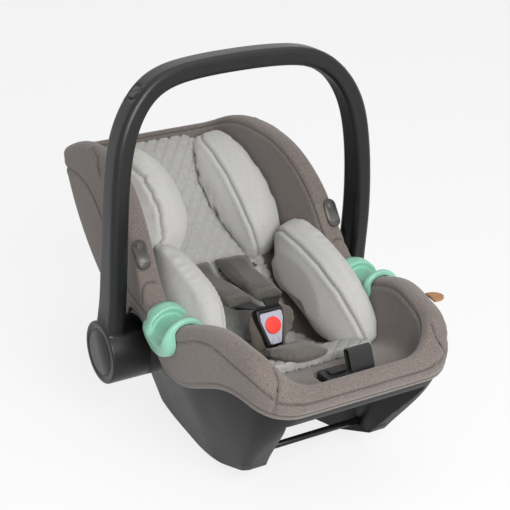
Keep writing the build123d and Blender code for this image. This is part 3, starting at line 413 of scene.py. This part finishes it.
# The hidden lining first: its middle, its edge and up under the rim.
lining_edge = ring_of(0.040, lambda x, y: bowl_height(y) - 0.004)
half_rings = pan(lining_edge, 0.004, (1.0, 0.5))
half_rings.append(lining_edge)
half_rings += rise_between(0.0315, lambda x, y: min(bowl_height(y), crest(x, y) - 0.02),
                           lambda x, y: crest(x, y) - 0.010, (0.0, 0.5, 1.0))
half_rings += [ring_of(inset, lambda x, y: crest(x, y) - drop) for inset, drop in ((0.026, 0.0055), (0.012, 0.0055))]
half_rings += rise_between(0.0045, lambda x, y: hem(x, y) + 0.006, lambda x, y: crest(x, y) - 0.018,
                           (1.0, 0.66, 0.33, 0.0))

# Round the hem, up the outer skirt, over the rim and down to the bowl.
half_rings += [ring_of(inset, lambda x, y: hem(x, y) + rise)
               for inset, rise in ((0.0040, 0.0012), (0.0022, 0.0), (0.0004, 0.0010))]
half_rings += rise_between(0, lambda x, y: hem(x, y) + 0.004, lambda x, y: crest(x, y) - 0.016, np.linspace(0, 1, 13))
for inset, drop in ((0.0005, 0.0115), (0.0024, 0.0068), (0.0056, 0.0034), (0.0100, 0.0014), (0.0150, 0.0003),
                    (0.0200, 0.0), (0.0250, 0.0007), (0.0293, 0.0026), (0.0328, 0.0058), (0.0350, 0.0102)):
    half_rings.append(ring_of(inset, lambda x, y: crest(x, y) - drop))
half_rings += rise_between(0.036, lambda x, y: min(bowl_height(y) + 0.012, crest(x, y) - 0.018),
                           lambda x, y: crest(x, y) - 0.016, np.linspace(1, 0, 11))
for inset, rise in ((0.0378, 0.0055), (0.0425, 0.0016), (0.0490, 0.0)):
    half_rings.append(ring_of(inset, lambda x, y: bowl_height(y) + rise))
half_rings += pan(half_rings[-1], 0, (0.12, 0.26, 0.42, 0.6, 0.8, 1.0))

cover_shape = bmesh.new()
loops = []
for half in half_rings:
    ring = [cover_shape.verts.new(spot) for spot in half]
    ring += [cover_shape.verts.new((-spot.x, spot.y, spot.z)) for spot in reversed(half[1:-1])]
    loops.append([cover_shape.edges.new((ring[i - 1], ring[i])) for i in range(len(ring))])
for lower, upper in zip(loops, loops[1:]):
    bmesh.ops.bridge_loops(cover_shape, edges=lower + upper)
bmesh.ops.remove_doubles(cover_shape, verts=cover_shape.verts, dist=0.0002)
bmesh.ops.recalc_face_normals(cover_shape, faces=cover_shape.faces)


def modified(shape, kind, frames=0, **settings):
    """The shape after one of Blender's modifiers, as a new bmesh."""
    mesh = bpy.data.meshes.new("blank")
    shape.to_mesh(mesh)
    shape.free()
    blank = bpy.data.objects.new("blank", mesh)
    scene.collection.objects.link(blank)
    change = blank.modifiers.new("change", kind)
    for setting, value in settings.items():
        holder = change.settings if kind == "CLOTH" else change
        setattr(holder, setting, value)
    if kind == "CLOTH":
        change.settings.effector_weights.gravity = 0
        change.point_cache.frame_end = frames
    for frame_number in range(1, frames + 1):
        scene.frame_set(frame_number)
    result = bpy.data.meshes.new_from_object(blank.evaluated_get(bpy.context.evaluated_depsgraph_get()))
    made = bmesh.new()
    made.from_mesh(result)
    for spare in (mesh, result):
        bpy.data.meshes.remove(spare)
    scene.frame_set(1)
    return made


cover_shape = modified(cover_shape, "SUBSURF", levels=1, render_levels=1)


def melange(name, dark, light, scale=1.0, rough=0.93, sheen=0.25):
    """Heathered knit: dark and pale fibres mixed at about a millimetre, soft ribs, and painted shade darkening the
    cloth along its seams.
    """
    finish = Finish(name, Sheen_Weight=sheen, Sheen_Roughness=0.6)
    fleck = finish.grain(520 * scale, 3, (1, 1, 1.6), 0.7)
    cloud = finish.grain(9, 2)
    fibre = finish.grain(1700 * scale, 1)
    share = (fleck - 0.5) * 2.2 + 0.5 + (cloud - 0.5) * 0.35
    # Painted shade: the seam attribute from sew() darkens the cloth towards a deeper tone of its dark fibres, standing
    # for the shadow in a seam's groove.
    seam = finish.node("Attribute", "Fac", {"attribute_name": "seam"})
    cloth = finish.tint(finish.node("Clamp", 0, (), i0=share), ink(*dark), ink(*light))
    shade = ink(*(value * 0.62 for value in dark))
    finish.set("Base Color", finish.tint(seam * 0.75, cloth, shade))
    finish.set("Roughness", rough - fibre * 0.06)
    finish.relief(fleck * 0.6 + fibre * 0.4, 0.0005 / scale)
    return finish.material


def spaced(path, gap):
    """Points along a path at an even gap, with the direction at each."""
    spots = []
    left = 0.0
    for a, b in zip(path, path[1:]):
        run = (b - a).length
        while left < run:
            spots.append((a.lerp(b, left / run), (b - a) / run))
            left += gap
        left -= run
    return spots


def sew(made, paths, depth=0.0018, width=0.0022, puff=0.0007):
    """Seams: a narrow groove, with the cloth swelling and puckering beside it, and painted shade in the groove."""
    mesh = made.data
    step, reach, pucker_pitch = 0.001, 0.02, 0.011
    samples = [(spot, number * step) for path in paths for number, (spot, way) in enumerate(spaced(path, step))]
    finder = KDTree(len(samples))
    for number, (spot, along) in enumerate(samples):
        finder.insert(spot, number)
    finder.balance()

    # The skin is made fine enough beside the seam to hold the groove.
    fine = bmesh.new()
    fine.from_mesh(mesh)
    for coarse in (0.006, 0.0035):
        long = [edge for edge in fine.edges if edge.calc_length() > coarse
                and finder.find((edge.verts[0].co + edge.verts[1].co) / 2)[2] < 0.009]
        bmesh.ops.subdivide_edges(fine, edges=long, cuts=1, smooth=0.6, use_grid_fill=True)
    for face in fine.faces:
        face.smooth = True
    fine.to_mesh(mesh)
    fine.free()
    # Painted shade: the seam attribute marks the groove, where the cloth is darkened as if in shadow.
    seam_groove_shade = mesh.attributes.get("seam") or mesh.attributes.new("seam", "FLOAT", "POINT")
    moves = []
    for vertex in mesh.vertices:
        near, number, away = finder.find(vertex.co)
        if away > reach:
            continue
        groove = math.exp(-(away / width) ** 2)
        swell = math.exp(-((away - 0.007) / 0.0045) ** 2)
        pucker = 0.5 + 0.5 * math.sin(samples[number][1] * 2 * math.pi / pucker_pitch)
        moves.append((vertex, vertex.normal.copy() * (swell * puff * (0.7 + 0.6 * pucker) - groove * depth)))
        seam_groove_shade.data[vertex.index].value = max(seam_groove_shade.data[vertex.index].value, math.exp(-(away / 0.0016) ** 2))
    for vertex, move in moves:
        vertex.co += move


def stitches(name, paths, finish, body, pitch=0.0042, length=0.0028, radius=0.00042):
    """A row of thread stitches, each a short rounded bar lying on the cloth."""
    shape = bmesh.new()
    for path in paths:
        for spot, way in spaced(path, pitch):
            turn = way.to_track_quat("X", "Z").to_matrix().to_4x4()
            made = bmesh.ops.create_icosphere(shape, subdivisions=1, radius=1)
            bmesh.ops.scale(shape, vec=(length / 2, radius, radius), verts=made["verts"])
            bmesh.ops.transform(shape, matrix=Matrix.Translation(spot) @ turn, verts=made["verts"])
    return piece(name, shape, finish, body)


def laid_on(made, path, gap=0.002):
    """A path moved to the nearest places on a piece's skin."""
    mesh = made.data
    skin = BVHTree.FromPolygons([v.co.copy() for v in mesh.vertices], [tuple(p.vertices) for p in mesh.polygons])
    return [skin.find_nearest(spot)[0] for spot, way in spaced([Vector(spot) for spot in path], gap)]


def both_sides(paths):
    """The paths and their mirror images."""
    return paths + [[Vector((-spot[0], spot[1], spot[2])) for spot in path] for path in paths]


# The cover dips under the front adjuster, so that its button has room to travel.
for vertex in cover_shape.verts:
    inside = min(0.030 - abs(vertex.co.x), 0.022 - abs(vertex.co.y + 0.261)) / 0.005
    if inside > 0 and vertex.co.z > 0.16:
        vertex.co.z -= 0.0085 * min(inside, 1)

taupe = melange("taupe_melange", (70, 61, 57), (130, 119, 113))
cover = piece("seat_slip_cover", cover_shape, taupe, "seat", "seat_cover")

band_height = through(((-345, 200), (-326, 208), (-312, 218), (-255, 237), (-218, 246), (-176, 243), (-132, 223),
                       (-80, 212), (-12, 225), (54, 237), (150, 319), (295, 347), (345, 338)))

# Band, foot panel, inner edge of the rim, foot panel's inner edge, foot corner,
# beside the canopy clip, and the head wing's dart: right side, then mirrored.
cover_seams = [
    [spot for spot in ring_of(0, lambda x, y: band_height(y)) if spot.y > -0.326],
    [spot for spot in ring_of(0, lambda x, y: 0.200 + 0.26 * x * x) if spot.y < -0.3 and spot.x < 0.139],
    [spot for spot in ring_of(0.035, lambda x, y: crest(x, y) - 0.0102) if spot.y > -0.292],
    [(x / 1000, -0.285 - (x / 118) ** 4 * 0.006, 0.198 + (x / 118) ** 2 * 0.030) for x in range(0, 119, 4)],
    [(0.130, -0.300, 0.245), (0.129, -0.313, 0.229), (0.140, -0.326, 0.208), (0.141, -0.319, 0.187)],
    [(0.187, -0.014, 0.236), (0.184, -0.013, 0.252), (0.172, -0.012, 0.266), (0.158, -0.012, 0.266),
     (0.150, -0.012, 0.252)],
    [(0.150, 0.204, 0.409), (0.158, 0.170, 0.404), (0.163, 0.148, 0.380)],
]
hem_seam = [ring_of(0, lambda x, y: hem(x, y) + 0.009)]
cover_seams = [laid_on(cover, path) for path in both_sides(cover_seams)]
hem_seam = [laid_on(cover, path) for path in both_sides(hem_seam)]
sew(cover, cover_seams)
sew(cover, hem_seam, depth=0.0011, width=0.0012, puff=0.0004)


def soften(shape, factor, rounds=1):
    """Every vertex drawn some way to the middle of its neighbours."""
    for _ in range(rounds):
        bmesh.ops.smooth_vert(shape, verts=shape.verts, factor=factor, use_axis_x=True, use_axis_y=True,
                              use_axis_z=True)


def stuffed(name, node, finish, voxel=0.005, pressure=4.0, limit=0.008, settle=None):
    """A stuffed piece: the CAD solid's skin remade evenly and blown up as cloth."""
    shape = modified(merged(node), "REMESH", mode="VOXEL", voxel_size=voxel)
    soften(shape, 0.5)
    if settle:
        for vertex in shape.verts:
            vertex.co = settle(vertex.co)
        soften(shape, 0.5, 6)
    before = [vertex.co.copy() for vertex in shape.verts]
    if pressure:
        shape = modified(shape, "CLOTH", frames=20, use_pressure=True, uniform_pressure_force=pressure,
                         quality=4, mass=0.15, tension_stiffness=8, shear_stiffness=4, bending_stiffness=0.4)
        for vertex, place in zip(shape.verts, before):
            move = vertex.co - place
            if move.length > limit:
                vertex.co = place + move.normalized() * limit
    shape = modified(shape, "SUBSURF", levels=1, render_levels=1)
    made = piece(name, shape, finish, "seat", node)
    return made


def smooth_step(value, low, high):
    """0 below low, 1 above high, and a soft slope between."""
    share = min(max((value - low) / (high - low), 0.0), 1.0)
    return share * share * (3 - 2 * share)


def back_pad_settled(spot):
    """The quilted back widens between the bolsters and reaches up to the head seam."""
    spread = 1.5 - 0.25 * smooth_step(spot.y, 0.14, 0.22)
    reach = 0.018 * smooth_step(spot.y, 0.20, 0.28)
    return Vector((spot.x * spread, spot.y + reach * 0.77, spot.z + reach * 0.64))


def seat_pad_settled(spot):
    """The quilted seat widens under the bolsters; its front edge tucks back."""
    front = min(spot.y + 0.19, 0.0)
    rise = bowl_height(spot.y - 0.6 * front) - bowl_height(spot.y)
    return Vector((spot.x * 1.24, spot.y - 0.6 * front, spot.z + rise))


def quilted(made, pitch, depth, lean):
    """Diamond quilting: grooves along two sets of slanting lines, puffed between."""
    along = Vector((0, math.cos(lean), math.sin(lean)))
    moves = []
    for vertex in made.data.vertices:
        run = vertex.co.dot(along)
        lines = [abs(((vertex.co.x * 1.25 + way * run) / pitch) % 1 - 0.5) for way in (1, -1)]
        near = (0.5 - max(lines)) * pitch
        puff = 1 - math.exp(-(near / 0.0024) ** 2)
        moves.append(vertex.normal.copy() * (puff - 0.6) * depth)
    for vertex, move in zip(made.data.vertices, moves):
        vertex.co += move


jersey = melange("grey_jersey", (158, 157, 154), (198, 197, 194), 1.4, 0.9, 0.15)
# The quilted back and seat pads wear the grey jersey in a darker copy: painted shade for the bowl of the seat where
# they lie.
quilt_jersey_shaded = melange("quilted_jersey_painted_shade", (136, 135, 132), (178, 177, 174), 1.4, 0.9, 0.15)
back_lean, seat_lean = math.radians(39.6), math.radians(-18)
diamond = 0.0265
back_pad = stuffed("insert_back_quilt", "insert_back_pad", quilt_jersey_shaded, voxel=0.0035, pressure=0,
                   settle=back_pad_settled)
quilted(back_pad, diamond, 0.0036, back_lean)
seat_pad = stuffed("insert_seat_quilt", "insert_seat_pad", quilt_jersey_shaded, voxel=0.0035, pressure=0,
                   settle=seat_pad_settled)
quilted(seat_pad, diamond, 0.0024, seat_lean)


# ---- Infant insert: head pads and bolsters ---------------------------------------
# Two head pads and two hip bolsters of the same jersey, stuffed with fibre. A
# seam runs along each ridge, between the inner panel and the outer panel; the
# pads of one pair never settle quite alike.
def head_pad_settled(spot, side, inward):
    """Where the stuffing of a head pad goes: in from its foot end, and inwards."""
    up = Vector((0, math.cos(back_lean), math.sin(back_lean)))
    off = Vector((0, -math.sin(back_lean), math.cos(back_lean)))
    away = spot - Vector((0, 0.200, 0.276))
    run, height = away.dot(up), away.dot(off)
    foot = -0.112 + 0.25 * max(0, abs(spot.x) - 0.085)
    if run < foot:
        spot = spot + up * (foot - run) * 0.8
    share = smooth_step(height, 0.012, 0.075)
    return spot + Vector((-side * 2.2 * inward * share, 0, 0)) + (off * 0.5 + up * 0.6) * inward * share


bolster_foot = through(((-180, 150), (-135, 158), (-76, 160), (8, 184), (72, 208), (100, 238)))


def bolster_settled(spot, side, inward):
    """Where the stuffing of a bolster goes: off the bowl, to the wall, and inwards."""
    spot = spot.copy()
    low = bolster_foot(spot.y) - 0.02 * (1 - smooth_step(abs(spot.x), 0.09, 0.125))
    if spot.z < low + 0.01:
        spot.z = low + 0.01 - 0.01 * (1 - math.exp((spot.z - low - 0.01) / 0.03))
    spot.x += side * 0.006 * smooth_step(abs(spot.x), 0.118, 0.135)
    share = smooth_step(spot.z, 0.195, 0.265)
    return spot + Vector((-side * inward * share, 0, 0.35 * inward * share))


for part, settle, ridge in (
    ("head_pad", head_pad_settled, ((92, 105, 207), (83, 91, 230), (73, 99, 266), (69, 128, 302), (69, 169, 334),
                                    (70, 217, 358), (74, 260, 367), (84, 283, 370))),
    ("bolster", bolster_settled, ((112, -174, 164), (106, -152, 192), (101, -110, 227), (100, -55, 251), (101, 0, 264),
                                  (103, 55, 270), (108, 82, 260), (112, 92, 243))),
):
    for side, sign, inward in (("right", 1, 0.0), ("left", -1, 0.020)):
        lobe = stuffed("insert_%s_cushion_%s" % (part, side), "insert_%s_%s" % (part, side), jersey,
                       pressure=5.0, settle=lambda spot: settle(spot, sign, inward))
        outward = inward * (2.3 if part == "head_pad" else 0.5)
        path = [settle(Vector((sign * (x / 1000 + outward), y / 1000, z / 1000)), sign, inward) for x, y, z in ridge]
        sew(lobe, [laid_on(lobe, path)], depth=0.0024, width=0.0026, puff=0.0010)


# ---- Foam shell ------------------------------------------------------------------
# Moulded expanded polystyrene between the cover and the bucket: small beads show
# where the cover ends. It sits a little inside the cover, which is drawn over it.
foam = Finish("expanded_polystyrene", Roughness=0.75)
beads = foam.node("TexVoronoi", "Distance", Vector=foam.place, Scale=320.0)
foam.set("Base Color", foam.tint(beads, ink(216, 216, 212), ink(238, 238, 235)))
foam.relief(beads, 0.0004)


def dressed(node, finish, body="seat", crease=32):
    """A rigid CAD piece with its finish, smooth between its sharp edges."""
    made = piece(node + "_finished", merged(node), finish, body, node, crease=crease)
    return made


foam_block = merged("foam_liner")
foam_block.normal_update()
for vertex in foam_block.verts:
    vertex.co.z -= 0.004 * smooth_step(vertex.co.y, 0.15, 0.28)
    vertex.co -= vertex.normal * 0.003 * min(vertex.calc_shell_factor(), 1.6)
piece("foam_liner_beaded", foam_block, foam.material, "seat", "foam_liner", crease=40)


# ---- Carry handle ----------------------------------------------------------------
# A hollow polypropylene bow in two snap-together shells, satin on the grip, with
# a hub drum at each end; the liner closes the channel that holds the cables.
handle_black = moulded("handle_polypropylene", (17, 17, 18), 0.36, 0.00003, Specular_IOR_Level=0.38)
liner_black = moulded("handle_liner_polypropylene", (16, 16, 17), 0.5, 0.00005, Specular_IOR_Level=0.3)
dressed("handle_shell", handle_black, "handle")
dressed("handle_liner", liner_black, "handle")


# ---- Handle buttons, cables and locks ----------------------------------------------
# One button per side pulls a steel cable down the bow, which draws a toothed
# nylon gear out of the hub; a steel spring pushes it back.
def steel(name, colour, roughness):
    """Drawn or rolled steel: fine lines along it, and a little unevenness."""
    finish = Finish(name, Metallic=1.0)
    lines = finish.grain(700, 2, (1, 1, 0.15))
    finish.set("Base Color", finish.tint(lines, ink(*colour), ink(*(value + 18 for value in colour))))
    finish.set("Roughness", roughness + (lines - 0.5) * 0.15)
    finish.relief(lines, 0.00002)
    return finish.material


button_black = moulded("button_nylon", (18, 18, 19), 0.32, 0.00002, Specular_IOR_Level=0.4)
gear_nylon = moulded("lock_gear_nylon", (62, 62, 64), 0.45, 0.00003)
spring_steel = steel("spring_steel", (150, 150, 155), 0.32)
cable_steel = steel("cable_steel", (120, 120, 124), 0.4)
axle_steel = steel("axle_steel", (140, 140, 142), 0.28)
ring_nylon = moulded("hub_ring_nylon", (46, 46, 48), 0.45, 0.00003)
cap_black = moulded("hub_cap_polypropylene", (20, 20, 21), 0.36, 0.00003, Specular_IOR_Level=0.4)
for side in ("right", "left"):
    dressed("handle_button_" + side, button_black, "button_" + side)
    dressed("button_spring_" + side, spring_steel, "button_" + side)
    dressed("release_cable_" + side, cable_steel, "handle")
    dressed("lock_gear_" + side, gear_nylon, "lock_" + side)
    dressed("lock_spring_" + side, spring_steel, "lock_" + side)
    dressed("hub_axle_" + side, axle_steel)
    dressed("hub_ring_" + side, ring_nylon)
    dressed("hub_cap_" + side, cap_black, "handle")


# ---- Cross bars --------------------------------------------------------------------
# Two round steel bars, painted black, tie the rocker rails together near their
# ends; the latches of a car base catch them.
bar_black = moulded("bar_black_paint", (24, 24, 26), 0.3, 0.00001, Metallic=0.4)
for end in ("front", "rear"):
    dressed(end + "_cross_bar", bar_black)


# ---- Belt guides and canopy clips ----------------------------------------------------
# A mint polypropylene saddle snaps over each side rim to hold the lap belt; above
# it a dark clip takes the canopy's wire.
mint = moulded("guide_polypropylene", (128, 182, 160), 0.34, 0.00002, 0.03, Subsurface_Weight=0.05)
clip_grey = moulded("clip_polypropylene", (70, 68, 65), 0.42, 0.00003)


guide_middle, guide_half, guide_wall, guide_gap = -0.086, 0.043, 0.0026, 0.0012
skirt_edge, cup_drop = 0.224, 0.038


def wall_x(y, z):
    """Half width of the hull at a place on its side."""
    line = [spot for spot in outline(z, 0) if spot.x > 0.1]
    return next(a.x + (b.x - a.x) * (y - a.y) / (b.y - a.y) for a, b in zip(line, line[1:]) if a.y <= y < b.y)


def guide_skin(y, along, lift):
    """A place on the saddle: 0 to 1 outside, 1 to 2 over the rim, 2 to 3 inside."""
    top = rim_height(y) - 0.012
    across = (y - guide_middle) / guide_half
    dip = math.sqrt(max(1 - across * across, 0.0))
    wall = wall_x(y, min(top, 0.24))
    if along <= 1:
        z = top + (1 - along) * (skirt_edge - cup_drop * dip - top)
        return Vector((wall_x(y, z) + lift, y, z))
    if along <= 2:
        turn = math.pi * (along - 1)
        return Vector((wall - 0.018 + (0.018 + lift) * math.cos(turn), y, top + (0.012 + lift) * math.sin(turn)))
    return Vector((wall - 0.036 - lift, y, top - (along - 2) * (0.008 + 0.026 * dip)))


def guide_bulk(spot, y, along):
    """How proud of the rim the moulding stands: a cup with a pocket, walls and a hook."""
    across = (y - guide_middle) / guide_half
    down = (min(spot.z, skirt_edge) - skirt_edge) / cup_drop if along <= 1 else 0
    edge = min(math.hypot(across, down), 1.0)
    body = 0.016 * math.sqrt(max(1 - edge ** 8, 0.0)) * (1 - 0.5 * smooth_step(along, 0.8, 1.3))
    pocket = (((y + 0.090) / 0.030) ** 4 + ((spot.z - 0.242) / 0.030) ** 4) ** 0.25
    if along > 1:
        pocket = abs(y + 0.092) / 0.029
    floor = 0.36 * body * (1 - smooth_step(along, 0.9, 1.2))
    body = floor + (body - floor) * smooth_step(pocket, 0.80, 1.0)
    if along <= 1:
        eye = math.hypot((y + 0.085 + (spot.z - 0.229) * 0.5) / 0.018, (spot.z - 0.229) / 0.0085)
        body *= smooth_step(eye, 0.72, 1.04)
    if along > 1.9:
        body *= 1 - 0.7 * smooth_step(along, 1.9, 2.4)
    return guide_wall + body


across_count = 48
along_values = [k / 22 for k in range(22)] + [1 + k / 20 for k in range(20)] + [2 + k / 14 for k in range(15)]
for side, sign in (("right", 1), ("left", -1)):
    guide = bmesh.new()
    skins = ([], [])
    for step in range(across_count + 1):
        y = guide_middle - 0.0427 * math.cos(math.pi * step / across_count)
        columns = ([], [])
        for along in along_values:
            foot = guide_skin(y, along, guide_gap)
            bulk = guide_bulk(foot, y, along)
            crown = guide_skin(y, along, guide_gap + bulk)
            # The wall towards the head end hooks over the pocket and holds the belt.
            if y > -0.07 and 0.6 < along < 2:
                hooked = smooth_step(bulk, 0.005, 0.009)
                crown.y -= 0.010 * hooked * smooth_step(along, 0.6, 1.1)
                crown.z += 0.003 * hooked * smooth_step(along, 0.7, 1.2)
            for column, spot in zip(columns, (foot, crown)):
                column.append(guide.verts.new((sign * spot.x, spot.y, spot.z)))
        for skin, column in zip(skins, columns):
            skin.append(column)
    last, end = across_count, len(along_values) - 1
    for skin in skins:
        for a, b in zip(skin, skin[1:]):
            for k in range(end):
                guide.faces.new((a[k], a[k + 1], b[k + 1], b[k]))
    under, over = skins
    border = [(0, k) for k in range(end)] + [(i, end) for i in range(last)]
    border += [(last, k) for k in range(end, 0, -1)] + [(i, 0) for i in range(last, 0, -1)]
    for (i, k), (m, n) in zip(border, border[1:] + border[:1]):
        guide.faces.new((under[i][k], under[m][n], over[m][n], over[i][k]))
    bmesh.ops.recalc_face_normals(guide, faces=guide.faces)
    soften(guide, 0.4, 2)
    piece("belt_guide_moulding_" + side, modified(guide, "SUBSURF", levels=1, render_levels=1), mint, "seat",
                  "belt_guide_" + side)
    dressed("canopy_clip_" + side, clip_grey)


# ---- Side tag ------------------------------------------------------------------------
# A small tab of vegetable-tanned leather, folded once and caught in the cover's
# band seam on one side.
leather = Finish("tan_leather", Roughness=0.55)
pores = leather.node("TexVoronoi", "Distance", Vector=leather.place, Scale=900.0)
tone = leather.grain(60, 4)
leather.set("Base Color", leather.tint(tone, ink(150, 104, 66), ink(178, 130, 88)))
leather.relief(pores, 0.00015)
dressed("side_tag", leather.material)


# ---- Harness webbing and shoulder pads -------------------------------------------------
# Black polyester webbing, woven with ribs along it; each shoulder strap wears a
# soft pad of dark melange with stitched hems.
def woven(name, colour):
    """Seat-belt webbing: ribs along the strap and fine picks across."""
    finish = Finish(name, Roughness=0.72, Sheen_Weight=0.15)
    rib_pitch, pick_pitch = 0.0016, 0.0011
    ribs = (finish.node("SeparateXYZ", "X", Vector=finish.place) * (2 * math.pi / rib_pitch)).wave()
    picks = (finish.node("SeparateXYZ", "Y", Vector=finish.place) * (2 * math.pi / pick_pitch)).wave()
    weave = ribs * 0.3 + picks * 0.2 + 0.5
    dark, light = (ink(*(value * share for value in colour)) for share in (0.7, 1.3))
    finish.set("Base Color", finish.tint(weave, dark, light))
    finish.relief(weave, 0.0002)
    return finish.material


webbing = woven("black_webbing", (22, 22, 23))
pad_cloth = melange("dark_melange", (38, 35, 31), (82, 77, 70), 1.1, 0.92, 0.25)
thread = Finish("tan_thread", Roughness=0.8)
thread.set("Base Color", thread.tint(thread.grain(3000, 1), ink(128, 120, 108), ink(160, 152, 140)))


def shoulder_pad_settled(spot):
    """The pad's upper end turns up over the slot and hides the webbing there."""
    share = smooth_step(spot.y, 0.035, 0.082)
    puff = 0.003 * smooth_step(-spot.y, -0.06, 0.03)
    return spot + Vector((0, 0.020 * share, 0.010 * share * share + puff))


for side, sign in (("right", 1), ("left", -1)):
    dressed("shoulder_strap_" + side, webbing)
    pad = stuffed("shoulder_pad_cushion_" + side, "shoulder_pad_" + side, pad_cloth, voxel=0.003, pressure=4.0,
                  limit=0.004, settle=shoulder_pad_settled)
    ends = [(0.0055, -0.031), (0.045, -0.031)], [(0.0125, -0.026), (0.0495, -0.026)]
    rows = [laid_on(pad, [(sign * x, y, 0.24) for x, y in end], 0.001) for end in ends]
    stitches("shoulder_pad_stitching_" + side, rows, thread.material, "seat")
dressed("crotch_strap", webbing)
dressed("adjuster_strap", webbing)
dressed("harness_yoke", steel("yoke_steel", (128, 128, 130), 0.35))


# ---- Crotch pad --------------------------------------------------------------------------
# A dark melange pad, stuffed and felt-backed, slipped over the crotch strap. Its
# flap lies on the seat pad and its upper lobe stands up behind the buckle.
crotch_cloth = melange("crotch_melange", (58, 52, 46), (102, 95, 86), 1.1, 0.92, 0.2)


def crotch_pad_settled(spot):
    """The lobe behind the buckle leans to one side; the flap lies to the other."""
    standing = smooth_step(spot.z, 0.150, 0.185) * smooth_step(spot.y, -0.12, -0.08)
    lying = smooth_step(-spot.y, 0.12, 0.17)
    x = spot.x * (1 + 0.3 * standing - 0.1 * lying) + 0.010 * standing - 0.012 * lying
    return Vector((x, spot.y, spot.z + 0.008 * standing))


crotch_pad = stuffed("crotch_pad_cushion", "crotch_pad", crotch_cloth, voxel=0.003, pressure=9.0, limit=0.007,
                     settle=crotch_pad_settled)
fold = laid_on(crotch_pad, [(x / 1000, -0.118, 0.20) for x in range(-40, 41, 4)])
sew(crotch_pad, [fold], depth=0.003, width=0.003, puff=0.0015)


# ---- Buckle --------------------------------------------------------------------------------
# Black housing with a lilac-grey face plate, a red push button on a spring, and
# two nylon-covered tongues.
housing_black = moulded("buckle_housing_nylon", (16, 16, 17), 0.36, 0.00003, Specular_IOR_Level=0.4)
tongue_black = moulded("tongue_nylon", (18, 18, 19), 0.4, 0.00003, Specular_IOR_Level=0.4)
face_grey = moulded("buckle_face_nylon", (166, 166, 178), 0.4, 0.00002, 0.03)
signal_red = moulded("button_red_nylon", (236, 62, 50), 0.3, 0.00001, 0.02, Coat_Weight=0.2, Coat_Roughness=0.2)
dressed("buckle_housing", housing_black)
dressed("buckle_face", face_grey)
dressed("buckle_button", signal_red, "buckle_release")
dressed("buckle_spring", spring_steel, "buckle_release")
for side in ("right", "left"):
    dressed("buckle_tongue_" + side, tongue_black)

# Grip ridges along the housing's top edge, moulded with it.
ridges = bmesh.new()
lean = math.radians(22)
for number in range(-5, 6):
    made = bmesh.ops.create_cube(ridges, size=1)["verts"]
    bmesh.ops.scale(ridges, vec=(0.0019, 0.0060, 0.0034), verts=made)
    bmesh.ops.rotate(ridges, matrix=Matrix.Rotation(lean, 3, "X"), verts=made)
    bmesh.ops.translate(ridges, vec=(number * 0.0036, -0.0735, 0.2122), verts=made)
bmesh.ops.bevel(ridges, geom=ridges.edges, offset=0.0005, segments=2, affect="EDGES", profile=0.5)
piece("buckle_grip_ridges", ridges, tongue_black, "seat", crease=40)


# ---- Front adjuster ------------------------------------------------------------------------
# A black nylon housing let into the bowl at the foot end. Its sprung button
# frees the strap, which comes out as a folded loop and tightens the harness.
dressed("adjuster_housing", housing_black)
dressed("adjuster_button", tongue_black, "adjuster_release")
dressed("adjuster_spring", spring_steel)
